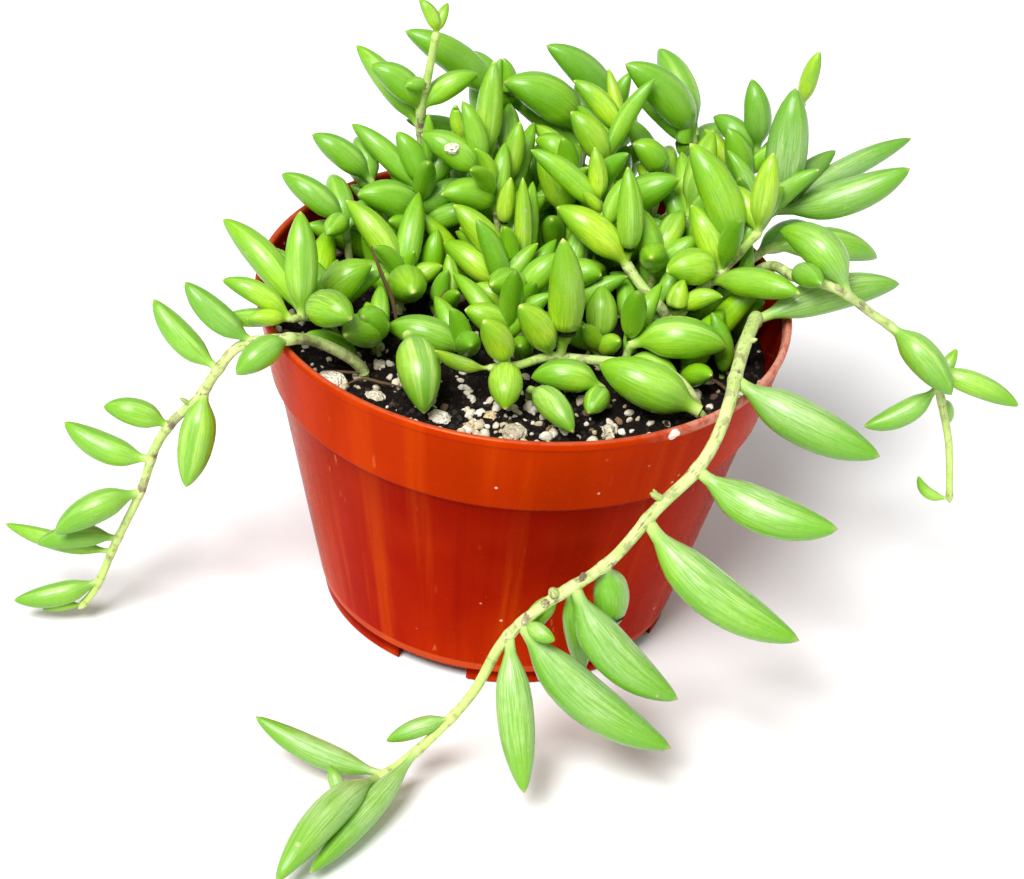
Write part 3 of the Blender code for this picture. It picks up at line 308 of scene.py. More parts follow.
def girth(share):
    """A leaf's thickness along its length: a thin stalk, a plump middle and a pointed tip."""
    return np.interp(share, GIRTH_PLACES, GIRTH_SHARES)


def leaf_axis(foot, reach, bow, share):
    """Points on a leaf's middle line, which arches by its bow."""
    chord = reach / np.linalg.norm(reach)
    up = np.array([0, 0, 1.0]) - chord[2] * chord
    up = up / max(np.linalg.norm(up), 1e-9)
    share = np.asarray(share, float)[:, None]
    return foot + reach * share + up * bow * 4 * share * (1 - share)


def soil_height(x, y):
    return SOIL_TOP + SOIL_BUMP * np.sin(0.21 * x + 1.0) * np.cos(0.17 * y - 0.5)


# The middle of the pot's wall, as radius and height, from the base to the lip
WALL_LINE = np.array([
    (BASE_RADIUS - 2, FLOOR_UNDER),
    (BASE_RADIUS + 0.3, 8.0),
    (BODY_TOP_RADIUS - WALL / 2, STEP),
    (COLLAR_FOOT_RADIUS, STEP + 2.4),
    (LIP_RADIUS - WALL / 2, LIP_HEIGHT - 1.0)])


def wall_gap(points, radius):
    """How far balls of this radius at these points lie from the pot's wall."""
    flat = np.stack([np.hypot(points[:, 0], points[:, 1]), points[:, 2]], 1)
    nearest = np.full(len(flat), np.inf)
    for a, b in zip(WALL_LINE[:-1], WALL_LINE[1:]):
        share = np.clip(((flat - a) @ (b - a)) / ((b - a) @ (b - a)), 0, 1)
        nearest = np.minimum(nearest, np.linalg.norm(flat - a - share[:, None] * (b - a), axis=1))
    return nearest - WALL - radius


def stone_ball(stone):
    """A ball that holds the stone."""
    height = soil_height(stone.x, stone.y) - STONE_SINK * stone.size
    return np.array([stone.x, stone.y, height]), STONE_REACH * stone.size


def fixed_gap(points, radius):
    """How far balls lie, at the nearest, from the pot, the soil, the stones and the surface below."""
    gap = np.minimum(wall_gap(points, radius), points[:, 2] - radius)
    over_soil = (np.hypot(points[:, 0], points[:, 1]) < LIP_RADIUS - WALL) & (points[:, 2] > STEP)
    above = points[:, 2] - radius - soil_height(points[:, 0], points[:, 1])
    gap = np.minimum(gap, np.where(over_soil, above, np.inf))
    for stone in STONES:
        centre, size = stone_ball(stone)
        gap = np.minimum(gap, np.linalg.norm(points - centre, axis=1) - size - radius)
    return gap.min()


def ball_gap(points, radius, others, other_radius):
    """The narrowest gap between two groups of balls."""
    if not len(others):
        return np.inf
    apart = np.linalg.norm(points[:, None] - others[None], axis=2)
    return (apart - radius[:, None] - other_radius[None]).min()


def leans(widest=56, step=8, lengths=(1.0, 0.85, 0.7)):
    """The ways a leaf may lean from where it is asked to lie, least first, with its share of length kept.

    Each is a turn and a lift in degrees. The leaf keeps its full length where it can.
    """
    angles = range(-widest, widest + 1, step)
    pairs = [(turn, lift) for turn in angles for lift in angles if math.hypot(turn, lift) <= widest + 1]
    pairs.sort(key=lambda pair: (round(math.hypot(*pair), 3), pair[1], pair[0]))
    return [(turn, lift, size) for size in lengths for turn, lift in pairs]


def lean(reach, turn, lift):
    """The reach turned about the vertical and lifted, in degrees."""
    flat = math.hypot(reach[0], reach[1])
    size = math.hypot(flat, reach[2])
    heading = math.atan2(reach[1], reach[0]) + math.radians(turn)
    rise = math.atan2(reach[2], flat) + math.radians(lift)
    ahead = math.cos(rise)
    return size * np.array([ahead * math.cos(heading), ahead * math.sin(heading), math.sin(rise)])


PLACES = np.linspace(0.06, 1, 14)     # where along a leaf its clearance is tested
OUTER = PLACES > 0.4                  # past its stalk, where it keeps clear of its own stem's leaves
TIPWARD = PLACES > 0.45               # where it keeps clear of its own stem


class Crowd:
    """The balls that stems and settled leaves take up. A new leaf leans just enough to clear them."""

    STEM, STALK, BLADE = 0, 1, 2

    def __init__(self, paths):
        self.balls = np.vstack(paths)
        self.sizes = np.concatenate([stem_radius(shoot, len(path)) for shoot, path in zip(SHOOTS, paths)])
        self.owner = np.concatenate([np.full(len(path), n) for n, path in enumerate(paths)])
        self.kind = np.full(len(self.balls), self.STEM)

    def settle(self, owner, foot, asked, ways, passes=(True, False)):
        """The leaf's foot, reach, bow and width where it finds room, or None.

        It first tries all ways clear of its own shoot, and then also those that touch it.
        """
        reach_out = math.dist(asked.reach, (0, 0, 0)) + asked.width
        near = np.linalg.norm(self.balls - foot, axis=1) < self.sizes + reach_out
        other = near & (self.owner != owner)
        own_leaf = near & (self.owner == owner) & (self.kind == self.BLADE)
        own_stem = near & (self.owner == owner) & (self.kind == self.STEM)
        for keep_off_own in passes:
            for turn, lift, size in ways:
                reach = lean(asked.reach, turn, lift) * size
                width = asked.width * (1 + size) / 2
                points = leaf_axis(foot, reach, asked.bow * size, PLACES)
                radius = width / 2 * girth(PLACES)
                if fixed_gap(points[1:], radius[1:]) < GAP:
                    continue
                if ball_gap(points, radius, self.balls[other], self.sizes[other]) < LEAF_GAP:
                    continue
                if keep_off_own:
                    outer = points[OUTER], radius[OUTER]
                    if ball_gap(*outer, self.balls[own_leaf], self.sizes[own_leaf]) < -OWN_OVERLAP:
                        continue
                    tipward = points[TIPWARD], radius[TIPWARD]
                    if ball_gap(*tipward, self.balls[own_stem], self.sizes[own_stem]) < 0:
                        continue
                self.balls = np.vstack([self.balls, points])
                self.sizes = np.concatenate([self.sizes, radius])
                self.owner = np.concatenate([self.owner, np.full(len(points), owner)])
                self.kind = np.concatenate([self.kind, np.where(OUTER, self.BLADE, self.STALK)])
                return foot, reach, asked.bow * size, width
        return None


def from_angles(size, heading, rise):
    """A reach of this size, with its heading and its rise in degrees."""
    heading, rise = math.radians(heading), math.radians(rise)
    return (size * math.cos(rise) * math.cos(heading), size * math.cos(rise) * math.sin(heading),
            size * math.sin(rise))


GOLDEN_TURN = 137.5               # degrees from each leaf to the next round a stem
TUFT = 3                          # young leaves that stand together
YOUNG_RADIUS = 45.0               # mm; young leaves stand this far out from the pot's axis
YOUNG_FRONT = -19.0               # mm; and none stands nearer to the viewer than this
YOUNG_SINK = 0.4                  # mm; how deep they stand in the soil
LOW_FROM, LOW_SPAN = 0.32, 0.62   # where on a stem the low leaves start, and the share of it that they take

# The ranges that a small leaf's length (mm), rise (degrees) and width (mm) are drawn from
Small = namedtuple("Small", "lengths rises widths")
LOW = Small((13, 21), (56, 82), (3.8, 5.8))
YOUNG = Small((14, 24), (62, 86), (4.2, 6.4))

# Shoots that show their bare stem
BARE_SHOOTS = ("trailer_front", "trailer_left", "trailer_right", "rim_shoot_left", "front_right",
               "window_shoot", "front_low", "front_middle", "creeping_shoot", "far_right_shoot", "right_back",
               "tall_shoot")
OPEN_CORNER = (-32.0, 3.0)        # mm; left of and behind this place the pot's inner wall shows
OPEN_ABOVE = 93.0                 # mm; and above this height no low leaf stands


def stays_clear(foot):
    """Whether a low or young leaf would hide what the photo shows."""
    return foot[0] < OPEN_CORNER[0] and foot[1] > OPEN_CORNER[1] or foot[2] > OPEN_ABOVE


def small_leaf(kind, heading, rng):
    """A low or young leaf with this heading, in degrees."""
    reach = from_angles(rng.uniform(*kind.lengths), heading, rng.uniform(*kind.rises))
    return Leaf(0, reach, rng.uniform(*kind.widths), 1.5)


def low_leaves(count, rng):
    """Upright leaves low on each crowded stem, as (the shoot's number, share up its stem, leaf)."""
    for n, shoot in enumerate(SHOOTS):
        if shoot.name in BARE_SHOOTS:
            continue
        turn = rng.uniform(0, 360)
        for k in range(count):
            yield n, LOW_FROM + LOW_SPAN * (k + 0.5) / count, small_leaf(LOW, turn + k * GOLDEN_TURN, rng)


def young_leaves(count, rng):
    """Tufts of leaves that stand in the soil among the stems, as (foot, leaf). The front strip stays bare."""
    for k in range(count):
        radius, bearing = YOUNG_RADIUS * math.sqrt((k + 0.5) / count), math.radians(k * GOLDEN_TURN)
        x, y = radius * math.cos(bearing), radius * math.sin(bearing)
        foot = np.array([x, y, soil_height(x, y) - YOUNG_SINK])
        if y < YOUNG_FRONT or stays_clear(foot):
            continue
        turn = rng.uniform(0, 360)
        for side in range(TUFT):
            yield foot, small_leaf(YOUNG, turn + side * 360 / TUFT, rng)


# The studio, with the camera fitted to the pot's lip, step and base line in the photo
CAMERA_PITCH = 34.03              # degrees below the horizontal
CAMERA_ROLL = 5.92                # degrees
CAMERA_LENS = 112.94              # mm
CAMERA_SENSOR = 36.0              # mm wide
CAMERA_SPOT = (0.5, -550.7, 407.0)
WINDOW_SIDE = (-0.28, -0.56, 0.85)    # the direction that the window's light comes from
FLOOR_GAP = 0.4                   # mm from the pot's feet down to the backdrop, so that they don't blend

# How dull a shoot's leaves are: 0 for fresh yellow-green, 1 for old grey-green
TONES = {
    "trailer_front": 0.72, "trailer_left": 0.68, "rim_shoot_left": 0.40, "trailer_right": 0.62,
    "creeping_shoot": 0.18, "front_right": 0.46, "window_shoot": 0.36, "front_middle": 0.50,
    "front_low": 0.52, "centre_shoot": 0.10, "right_shoot": 0.22, "spotted_shoot": 0.42,
    "left_middle": 0.36, "left_front_a": 0.50, "left_front_b": 0.46, "long_leaf": 0.62,
    "curl_shoot": 0.40, "left_back_a": 0.60, "left_back_b": 0.66, "left_back_c": 0.72, "back_a": 0.80,
    "back_b": 0.74, "back_c": 0.84, "back_d": 0.74, "back_e": 0.80, "far_right_shoot": 0.20,
    "pale_shoot": 0.86, "right_back": 0.80, "tall_shoot": 0.55, "fork_shoot": 0.20, "upright_a": 0.40,
    "upright_b": 0.45, "middle_a": 0.15, "middle_b": 0.15, "middle_i": 0.25, "middle_j": 0.25,
    "middle_k": 0.35,
}
USUAL_TONE = 0.34
LOW_TONE = 0.60                   # the tone of low and young leaves
# How far a tone may stray from these
TONE_SPREAD, LOW_SPREAD, YOUNG_SPREAD = (-0.13, 0.13), (-0.25, 0.15), (-0.35, 0.2)
SMALL_LEAF = 4.8                  # mm; a leaf narrower than this is a little fresher
SMALL_TONE = 0.12
# How much pale wax a shoot's leaves carry, which also sets the painted light on their top side
WAX = {"trailer_front": 0.38, "pale_shoot": 0.32, "trailer_left": 0.12, "trailer_right": 0.20,
       "window_shoot": 0.15, "front_right": 0.1, "front_low": 0.25, "creeping_shoot": 0.15}
USUAL_WAX = 0.08
# How strong a dark window along the top some leaves show, by shoot and number, and what the others draw from
WINDOWED = {
    ("window_shoot", 0): 1.0, ("spotted_shoot", 0): 1.0, ("front_low", 0): 0.8, ("creeping_shoot", 0): 0.5,
    ("left_middle", 0): 0.6, ("pale_shoot", 1): 0.7, ("trailer_front", 0): 0.6, ("front_middle", 1): 0.8,
    ("left_back_b", 0): 0.7, ("tall_shoot", 4): 0.7}
WINDOWS = [0.0, 0.3, 0.45, 0.6]
# Leaves with a purple-brown blush
BLUSHED = {
    ("rim_shoot_left", 5): 0.55, ("left_front_a", 0): 0.35, ("left_middle", 1): 0.2, ("long_leaf", 0): 0.2}


def place(points):
    """Layout points, in millimetres from the pot's axis, as points of the frame in metres."""
    points = np.atleast_2d(np.asarray(points, float))
    return (points + np.array([*POT_AXIS, 0.0])) * MM


# Building blocks for node trees

class Tree:
    """A node tree being built: each call adds a node, links what it is given and returns an output."""

    def __init__(self, tree):
        self.tree = tree

    def add(self, kind, inputs=(), output=0, **settings):
        node = self.tree.nodes.new(kind)
        for name, value in settings.items():
            setattr(node, name, value)
        for key, value in dict(inputs).items():
            socket = node.inputs[key]
            if isinstance(value, bpy.types.NodeSocket):
                self.tree.links.new(value, socket)
            else:
                socket.default_value = value
        return node.outputs[output]

    def math(self, operation, a, b=0.0, c=0.0):
        return self.add("ShaderNodeMath", {0: a, 1: b, 2: c}, operation=operation)

    def times(self, first, *others):
        """The product of all that is given."""
        for other in others:
            first = self.math("MULTIPLY", first, other)
        return first

    def vector(self, operation, a, b=(0.0, 0.0, 0.0), output=0):
        return self.add("ShaderNodeVectorMath", {0: a, 1: b}, output, operation=operation)

    def scaled(self, vector, size):
        return self.add("ShaderNodeVectorMath", {0: vector, "Scale": size}, operation="SCALE")

    def span(self, value, low, high, to_low=0.0, to_high=1.0):
        """The value's place between low and high, eased, as a number from to_low to to_high."""
        return self.add("ShaderNodeMapRange", {"Value": value, "From Min": low, "From Max": high,
                                               "To Min": to_low, "To Max": to_high},
                        interpolation_type="SMOOTHSTEP")

    def band(self, value, low, high, soft):
        """1 between low and high and 0 outside, with soft edges."""
        return self.times(self.span(value, low - soft, low), self.span(value, high + soft, high))

    def mix(self, share, a, b):
        """Two colours mixed: a where the share is 0, b where it is 1."""
        def colour(value):
            return value if isinstance(value, bpy.types.NodeSocket) else (*value, 1.0)
        return self.add("ShaderNodeMix", {0: share, 6: colour(a), 7: colour(b)}, 2, data_type="RGBA")

    def over(self, base, colour, *shares):
        """The base with a colour laid over it, as strongly as the product of the shares."""
        return self.mix(self.times(*shares), base, colour)

    def attribute(self, name, output="Fac"):
        return self.add("ShaderNodeAttribute", output=output, attribute_name=name)

    def position(self, scale=(1, 1, 1)):
        return self.vector("MULTIPLY", self.add("ShaderNodeTexCoord", output="Object"), scale)

    def axis(self, vector, number):
        return self.add("ShaderNodeSeparateXYZ", {0: vector}, number)

    def noise(self, scale, detail=2.0, roughness=0.5, at=None):
        """Cloudy noise on the object's own coordinates, or on those given."""
        at = self.position() if at is None else at
        return self.add("ShaderNodeTexNoise", {"Vector": at, "Scale": scale, "Detail": detail,
                                               "Roughness": roughness})

    def cells(self, scale):
        """The distance from the nearest of many scattered points."""
        return self.add("ShaderNodeTexVoronoi", {"Vector": self.position(), "Scale": scale}, "Distance",
                        feature="F1")

    def bump(self, height, distance, strength=1.0):
        return self.add("ShaderNodeBump", {"Height": height, "Distance": distance, "Strength": strength})


def finish(name, build, viewport, **fixed):
    """A material whose shader takes what build(tree) returns, and the fixed values on its own sockets."""
    made = bpy.data.materials.new(name)
    made.use_nodes = True
    made.diffuse_color = (*viewport, 1.0)
    shader = made.node_tree.nodes["Principled BSDF"]
    for socket, value in build(Tree(made.node_tree)).items():
        made.node_tree.links.new(value, shader.inputs[socket])
    for socket, value in fixed.items():
        shader.inputs[socket.replace("_", " ")].default_value = value
    return made


def round_the_skin(tree, run):
    """Coordinates that go round a stem or leaf and along it, so that a pattern follows it."""
    return tree.vector("ADD", tree.attribute("ring", "Vector"), tree.add("ShaderNodeCombineXYZ", {2: run}))


def leaf_colours(tree):
    """Lines from stalk to tip, a dark window along the top of some, a pale stalk and a small pale tip;
    painted light on the top side and painted shade underneath and towards the tip.
    """
    along, tone, draw = (tree.attribute(name) for name in ("along", "tone", "draw"))
    up = tree.times(tree.axis(tree.attribute("ring", "Vector"), 1), -1.0)
    across = tree.math("ABSOLUTE", tree.axis(tree.attribute("ring", "Vector"), 0))
    lines_at = round_the_skin(tree, tree.math("MULTIPLY_ADD", along, 0.30, tree.times(draw, 40.0)))
    lines = tree.noise(10.0, 2.0, 0.6, lines_at)
    fine_lines = tree.noise(30.0, 1.0, 0.5, lines_at)
    patches = tree.noise(210.0, 3.0, 0.6)
    clouds = tree.noise(75.0, 1.0, 0.5)
    bloom = tree.noise(800.0, 4.0, 0.7)

    fresh = tree.mix(patches, (0.64, 0.84, 0.018), (0.44, 0.69, 0.006))
    grown = tree.mix(patches, (0.37, 0.68, 0.008), (0.21, 0.50, 0.003))
    dull = tree.mix(patches, (0.16, 0.42, 0.024), (0.07, 0.25, 0.009))
    body = tree.mix(tree.span(tone, 0.05, 0.5), fresh, grown)
    body = tree.over(body, dull, tree.span(tone, 0.5, 1.0))
    body = tree.over(body, (0.11, 0.38, 0.006), tree.span(clouds, 0.58, 0.40, 0.0, 0.45))

    window = tree.times(tree.span(along, 0.14, 0.34), tree.span(along, 0.98, 0.86), tree.span(up, 0.0, 0.3),
                        tree.attribute("window"))
    body = tree.over(body, (0.66, 0.86, 0.24), tree.band(across, 0.34, 0.50, 0.16), window, 0.48)
    body = tree.over(body, (0.10, 0.30, 0.03), tree.span(across, 0.34, 0.14), window, 0.62)
    body = tree.over(body, (0.22, 0.13, 0.07), tree.span(lines, 0.44, 0.60), tree.attribute("blush"),
                     tree.span(up, -0.2, 0.7))
    # Pale wax laid mostly on the top side and near the stalk: partly the leaf's real bloom, partly painted
    # light on its top.
    body = tree.over(body, (0.66, 0.76, 0.46), tree.attribute("wax"),
                     tree.span(patches, 0.25, 0.70, 0.6, 1.3), tree.span(up, -0.4, 0.7, 0.1, 1.0),
                     tree.span(along, 0.95, 0.55, 0.15, 1.0))
    # Painted shade: the underside, and the blade towards its tip, are darkened to a deep green.
    body = tree.over(body, (0.13, 0.36, 0.007), tree.span(along, 0.35, 0.95),
                     tree.span(up, 0.9, -0.4, 0.40, 0.80))
    marked = tree.span(tree.attribute("wax"), 0.0, 0.4, 0.55, 1.0)
    body = tree.over(body, (0.11, 0.33, 0.008), tree.span(lines, 0.49, 0.58), marked, 0.52)
    body = tree.over(body, (0.13, 0.38, 0.012), tree.span(fine_lines, 0.50, 0.58), marked, 0.42)

    stalk = tree.mix(tone, (0.78, 0.90, 0.28), (0.52, 0.72, 0.20))
    body = tree.over(body, stalk, tree.span(along, 0.13, 0.01, 0.0, 0.75))
    tip = tree.mix(tree.span(tone, 0.3, 0.6), (0.84, 0.80, 0.24), (0.40, 0.40, 0.12))
    body = tree.over(body, tip, tree.span(along, 0.965, 0.995, 0.0, 0.65))
    body = tree.over(body, (0.70, 0.84, 0.50), tree.span(bloom, 0.56, 0.76, 0.0, 0.14))
    body = tree.over(body, (0.52, 0.46, 0.28), tree.span(tree.cells(190.0), 0.12, 0.07),
                     tree.span(draw, 0.88, 0.90), 0.6)
    relief = tree.math("MULTIPLY_ADD", fine_lines, 0.4, tree.math("MULTIPLY_ADD", bloom, 0.3, lines))
    return {"Base Color": body, "Roughness": tree.span(bloom, 0.35, 0.7, 0.27, 0.42),
            "Normal": tree.bump(relief, 0.00014, 0.6)}


def stem_colours(tree):
    """Pale green bark, fresher towards the tip, with brown streaks on old wood and a scar at each leaf."""
    along, knot = tree.attribute("along"), tree.attribute("knot")
    streaks_at = round_the_skin(tree, tree.times(along, 16.0))
    cloud = tree.noise(240.0, 4.0, 0.6)
    streaks = tree.noise(2.6, 5.0, 0.7, streaks_at)
    pale_streaks = tree.noise(5.0, 3.0, 0.6, streaks_at)
    blotches = tree.noise(260.0, 4.0, 0.65)
    ridge = tree.noise(1300.0, 2.0, 0.6)
    old = tree.span(along, 0.98, 0.60, 0.30, 1.0)
    bark = tree.mix(tree.span(cloud, 0.3, 0.7), (0.42, 0.58, 0.14), (0.66, 0.76, 0.30))
    bark = tree.over(bark, (0.52, 0.78, 0.13), tree.span(along, 0.55, 1.0, 0.0, 0.7))
    bark = tree.over(bark, (0.78, 0.80, 0.50), tree.span(pale_streaks, 0.55, 0.72, 0.0, 0.55))
    bark = tree.over(bark, (0.16, 0.075, 0.065), tree.span(streaks, 0.56, 0.66), old, 0.75)
    bark = tree.over(bark, (0.17, 0.075, 0.085), tree.span(blotches, 0.53, 0.59), old,
                     tree.span(knot, 0.02, 0.25, 0.45, 0.85))
    bark = tree.over(bark, (0.20, 0.10, 0.06), tree.band(knot, 0.40, 0.60, 0.20),
                     tree.span(streaks, 0.42, 0.60), 0.50)
    bark = tree.over(bark, (0.62, 0.62, 0.36), tree.span(knot, 0.75, 1.0), 0.35)
    relief = tree.math("MULTIPLY_ADD", knot, 0.5, tree.math("ADD", streaks, tree.times(ridge, 0.3)))
    return {"Base Color": bark, "Normal": tree.bump(relief, 0.0003, 0.7)}


CHIP = (31.0, -44.2, 69.6)        # a white chip on the lip's band
WORN_SIDE = (44.0, -22.0, 71.0)   # where the lip is worn pale
COLLAR_SLOPE = (LIP_RADIUS - COLLAR_FOOT_RADIUS) / (COLLAR_DEPTH - 3.4)


def pot_colours(tree):
    """Terracotta-coloured plastic: streaks drawn down the wall, a worn lip, scratches and lime specks, with
    painted light on the collar, painted highlights on the lip and base, and painted shade inside and at the
    step.
    """
    spot = tree.position()
    height = tree.axis(spot, 2)

    def climbing(low, high, *ends):
        return tree.span(height, low * MM, high * MM, *ends)

    def away_from(spot_on_pot):
        return tree.vector("DISTANCE", spot, tuple(place(spot_on_pot)[0]), "Value")

    axis = (POT_AXIS[0] * MM, POT_AXIS[1] * MM, 0.0)
    from_axis = tree.vector("SUBTRACT", tree.position((1.0, 1.0, 0.0)), axis)
    bearing = tree.vector("MULTIPLY", tree.vector("NORMALIZE", from_axis), (0.05, 0.05, 0.0))
    cloud = tree.noise(24.0, 3.0, 0.55)
    drawn = tree.noise(110.0, 4.0, 0.6, tree.vector("ADD", bearing, tree.position((0.0, 0.0, 0.05))))
    scuffs = tree.noise(420.0, 5.0, 0.7)
    red = tree.mix(tree.span(cloud, 0.32, 0.68), (0.31, 0.0075, 0.0001), (0.43, 0.024, 0.0004))
    red = tree.over(red, (0.21, 0.002, 0.0001), tree.span(drawn, 0.52, 0.70, 0.0, 0.50))
    red = tree.over(red, (0.54, 0.060, 0.001), tree.span(drawn, 0.48, 0.30, 0.0, 0.55))
    # Painted light: the collar above the step is a lighter orange than the wall below.
    red = tree.over(red, (0.52, 0.042, 0.0006), climbing(STEP - 0.5, STEP + 0.5, 0.0, 0.45))

    # Painted shade: the wall's inner side, below the lip, is darkened.
    away = tree.vector("LENGTH", from_axis, output="Value")
    radius = tree.math("MULTIPLY_ADD", height, -COLLAR_SLOPE, away)
    middle = (COLLAR_FOOT_RADIUS - WALL / 2 - COLLAR_SLOPE * (STEP + 2.4)) * MM
    red = tree.over(red, (0.15, 0.002, 0.0002), tree.span(radius, middle + 0.2 * MM, middle - 0.2 * MM),
                    climbing(LIP_HEIGHT - 0.4, LIP_HEIGHT - 1.4), 0.85)
    # Painted highlight: a bright line round the base edge.
    base_highlight = tree.band(height, (FLOOR_UNDER + 0.4) * MM, (FLOOR_TOP + 0.2) * MM, 0.5 * MM)
    red = tree.over(red, (0.60, 0.11, 0.030), base_highlight, 0.55)
    # Painted shade: a dark line at the step, under the collar.
    step_shade = tree.band(height, (STEP - 0.1) * MM, (STEP + 0.4) * MM, 0.3 * MM)
    red = tree.over(red, (0.12, 0.004, 0.0), step_shade, 0.4)

    # A paler line on the lip's top, broken by scuffs: a painted highlight.
    red = tree.over(red, (0.60, 0.13, 0.05), climbing(LIP_HEIGHT - 0.5, LIP_HEIGHT - 0.1),
                    tree.span(scuffs, 0.3, 0.6, 0.25, 0.60))
    worn = tree.times(climbing(LIP_HEIGHT - LIP_BAND - 0.4, LIP_HEIGHT - LIP_BAND),
                      tree.span(away_from(WORN_SIDE), 34 * MM, 14 * MM))
    red = tree.over(red, (0.72, 0.34, 0.26), worn, tree.span(scuffs, 0.36, 0.56, 0.25, 0.85))
    chip_edge = tree.math("MULTIPLY_ADD", scuffs, 1.2 * MM, away_from(CHIP))
    red = tree.over(red, (0.92, 0.88, 0.80), tree.span(chip_edge, 2.1 * MM, 1.8 * MM))
    red = tree.over(red, (0.82, 0.58, 0.45), tree.span(tree.cells(230.0), 0.095, 0.055),
                    tree.span(tree.noise(75.0, 1.0), 0.54, 0.60), 0.8)
    scratches = tree.noise(640.0, 2.0, 0.5, tree.position((1.0, 1.0, 0.1)))
    red = tree.over(red, (0.66, 0.17, 0.05), tree.span(scratches, 0.71, 0.75),
                    tree.span(cloud, 0.45, 0.58, 0.1, 0.7))
    relief = tree.math("MULTIPLY_ADD", scuffs, 0.02, tree.math("MULTIPLY_ADD", drawn, 0.10, cloud))
    rough = tree.math("MULTIPLY_ADD", worn, 0.2, tree.span(scuffs, 0.3, 0.8, 0.20, 0.32))
    return {"Base Color": red, "Roughness": rough, "Normal": tree.bump(relief, 0.0005, 0.4)}


def soil_colours(tree):
    """Near-black peat with brown grains."""
    grains = tree.noise(900.0, 4.0, 0.7)
    clods = tree.noise(140.0, 3.0, 0.6)
    earth = tree.mix(tree.span(grains, 0.35, 0.75), (0.003, 0.002, 0.0018), (0.020, 0.012, 0.008))
    earth = tree.over(earth, (0.035, 0.02, 0.012), tree.span(clods, 0.58, 0.75, 0.0, 0.4))
    return {"Base Color": earth, "Normal": tree.bump(grains, 0.0005, 1.0)}


def litter_colours(light, dark, speck):
    """Crumbs whose shade follows their own draw, with finer specks."""
    def build(tree):
        grain = tree.noise(1100.0, 4.0, 0.7)
        crumb = tree.mix(tree.attribute("draw"), dark, light)
        crumb = tree.over(crumb, speck, tree.span(grain, 0.5, 0.72, 0.0, 0.7))
        return {"Base Color": crumb, "Normal": tree.bump(grain, 0.0004, 0.9)}
    return build


def stone_colours(light, dark):
    """Pumice: cloudy, darker in its pits, and with dark patches of dirt."""
    def build(tree):
        cloud = tree.noise(330.0, 4.0, 0.65)
        pits = tree.cells(1500.0)
        dirt = tree.noise(700.0, 3.0, 0.7)
        stone = tree.mix(tree.span(cloud, 0.35, 0.65), dark, light)
        stone = tree.over(stone, (0.20, 0.15, 0.09), tree.span(pits, 0.22, 0.05, 0.0, 0.5))
        stone = tree.over(stone, (0.08, 0.055, 0.03), tree.span(dirt, 0.62, 0.74, 0.0, 0.6))
        return {"Base Color": stone, "Normal": tree.bump(tree.math("ADD", pits, cloud), 0.0006, 0.9)}
    return build


def dry_colours(tree):
    """Dead stalks and leaf bits: brown paper with darker lines along them."""
    draw = tree.attribute("draw")
    lines = tree.noise(6.0, 3.0, 0.7, round_the_skin(tree, draw))
    dry = tree.mix(tree.span(lines, 0.35, 0.65), (0.22, 0.12, 0.05), (0.045, 0.020, 0.010))
    dry = tree.over(dry, (0.42, 0.32, 0.19), tree.span(draw, 0.3, 0.9, 0.0, 0.7))
    return {"Base Color": dry, "Normal": tree.bump(lines, 0.0003, 0.8)}


# Geometry node trees

def new_tree(name, inputs):
    """A geometry tree with the named inputs, a builder on it, and its inputs' sockets."""
    group = bpy.data.node_groups.new(name, "GeometryNodeTree")
    group.interface.new_socket("Geometry", in_out="INPUT", socket_type="NodeSocketGeometry")
    for label, kind, default in inputs:
        socket = group.interface.new_socket(label, in_out="INPUT", socket_type=kind)
        if default is not None:
            socket.default_value = default
    group.interface.new_socket("Geometry", in_out="OUTPUT", socket_type="NodeSocketGeometry")
    given = group.nodes.new("NodeGroupInput")
    return group, Tree(group), given.outputs


def close_tree(group, tree, geometry, material):
    """Gives the geometry its material and ends the tree with it."""
    end = group.nodes.new("NodeGroupOutput")
    dressed = tree.add("GeometryNodeSetMaterial", {"Geometry": geometry, "Material": material})
    group.links.new(dressed, end.inputs[0])
    return group


def spindle_tree():
    """Turns lines into closed round skins: a leaf or a stem, as wide at each point as its girth says."""
    group, tree, given = new_tree("spindles", [
        ("Sides", "NodeSocketInt", 16), ("Skin", "NodeSocketMaterial", None)])
    girth_at = tree.add("GeometryNodeInputNamedAttribute", {"Name": "girth"}, data_type="FLOAT")
    line = tree.add("GeometryNodeMeshToCurve", {"Mesh": given["Geometry"]})
    line = tree.add("GeometryNodeSetCurveNormal", {"Curve": line}, mode="Z_UP")
    ring = tree.add("GeometryNodeCurvePrimitiveCircle", {"Resolution": given["Sides"], "Radius": 1.0})
    ring = tree.add("GeometryNodeStoreNamedAttribute", {
        "Geometry": ring, "Name": "ring", "Value": tree.add("GeometryNodeInputPosition")},
        data_type="FLOAT_VECTOR", domain="POINT")
    skin = tree.add("GeometryNodeCurveToMesh", {
        "Curve": line, "Profile Curve": ring, "Scale": girth_at, "Fill Caps": True})
    skin = tree.add("GeometryNodeSetShadeSmooth", {"Geometry": skin, "Shade Smooth": True})
    skin = tree.add("GeometryNodeRealizeInstances", {"Geometry": skin})
    return close_tree(group, tree, skin, given["Skin"])


FULL_TURN = (6.28, 6.28, 6.28)                            # radians
FLATTEST, ROUNDEST = (0.6, 0.5, 0.35), (1.0, 0.9, 0.75)   # a crumb's squeeze along its three axes
SMALL_BIAS = 1.6                                          # above 1, more of the crumbs are small
LUMP_SCALE = 900.0                                        # lumps on a crumb, on a metre


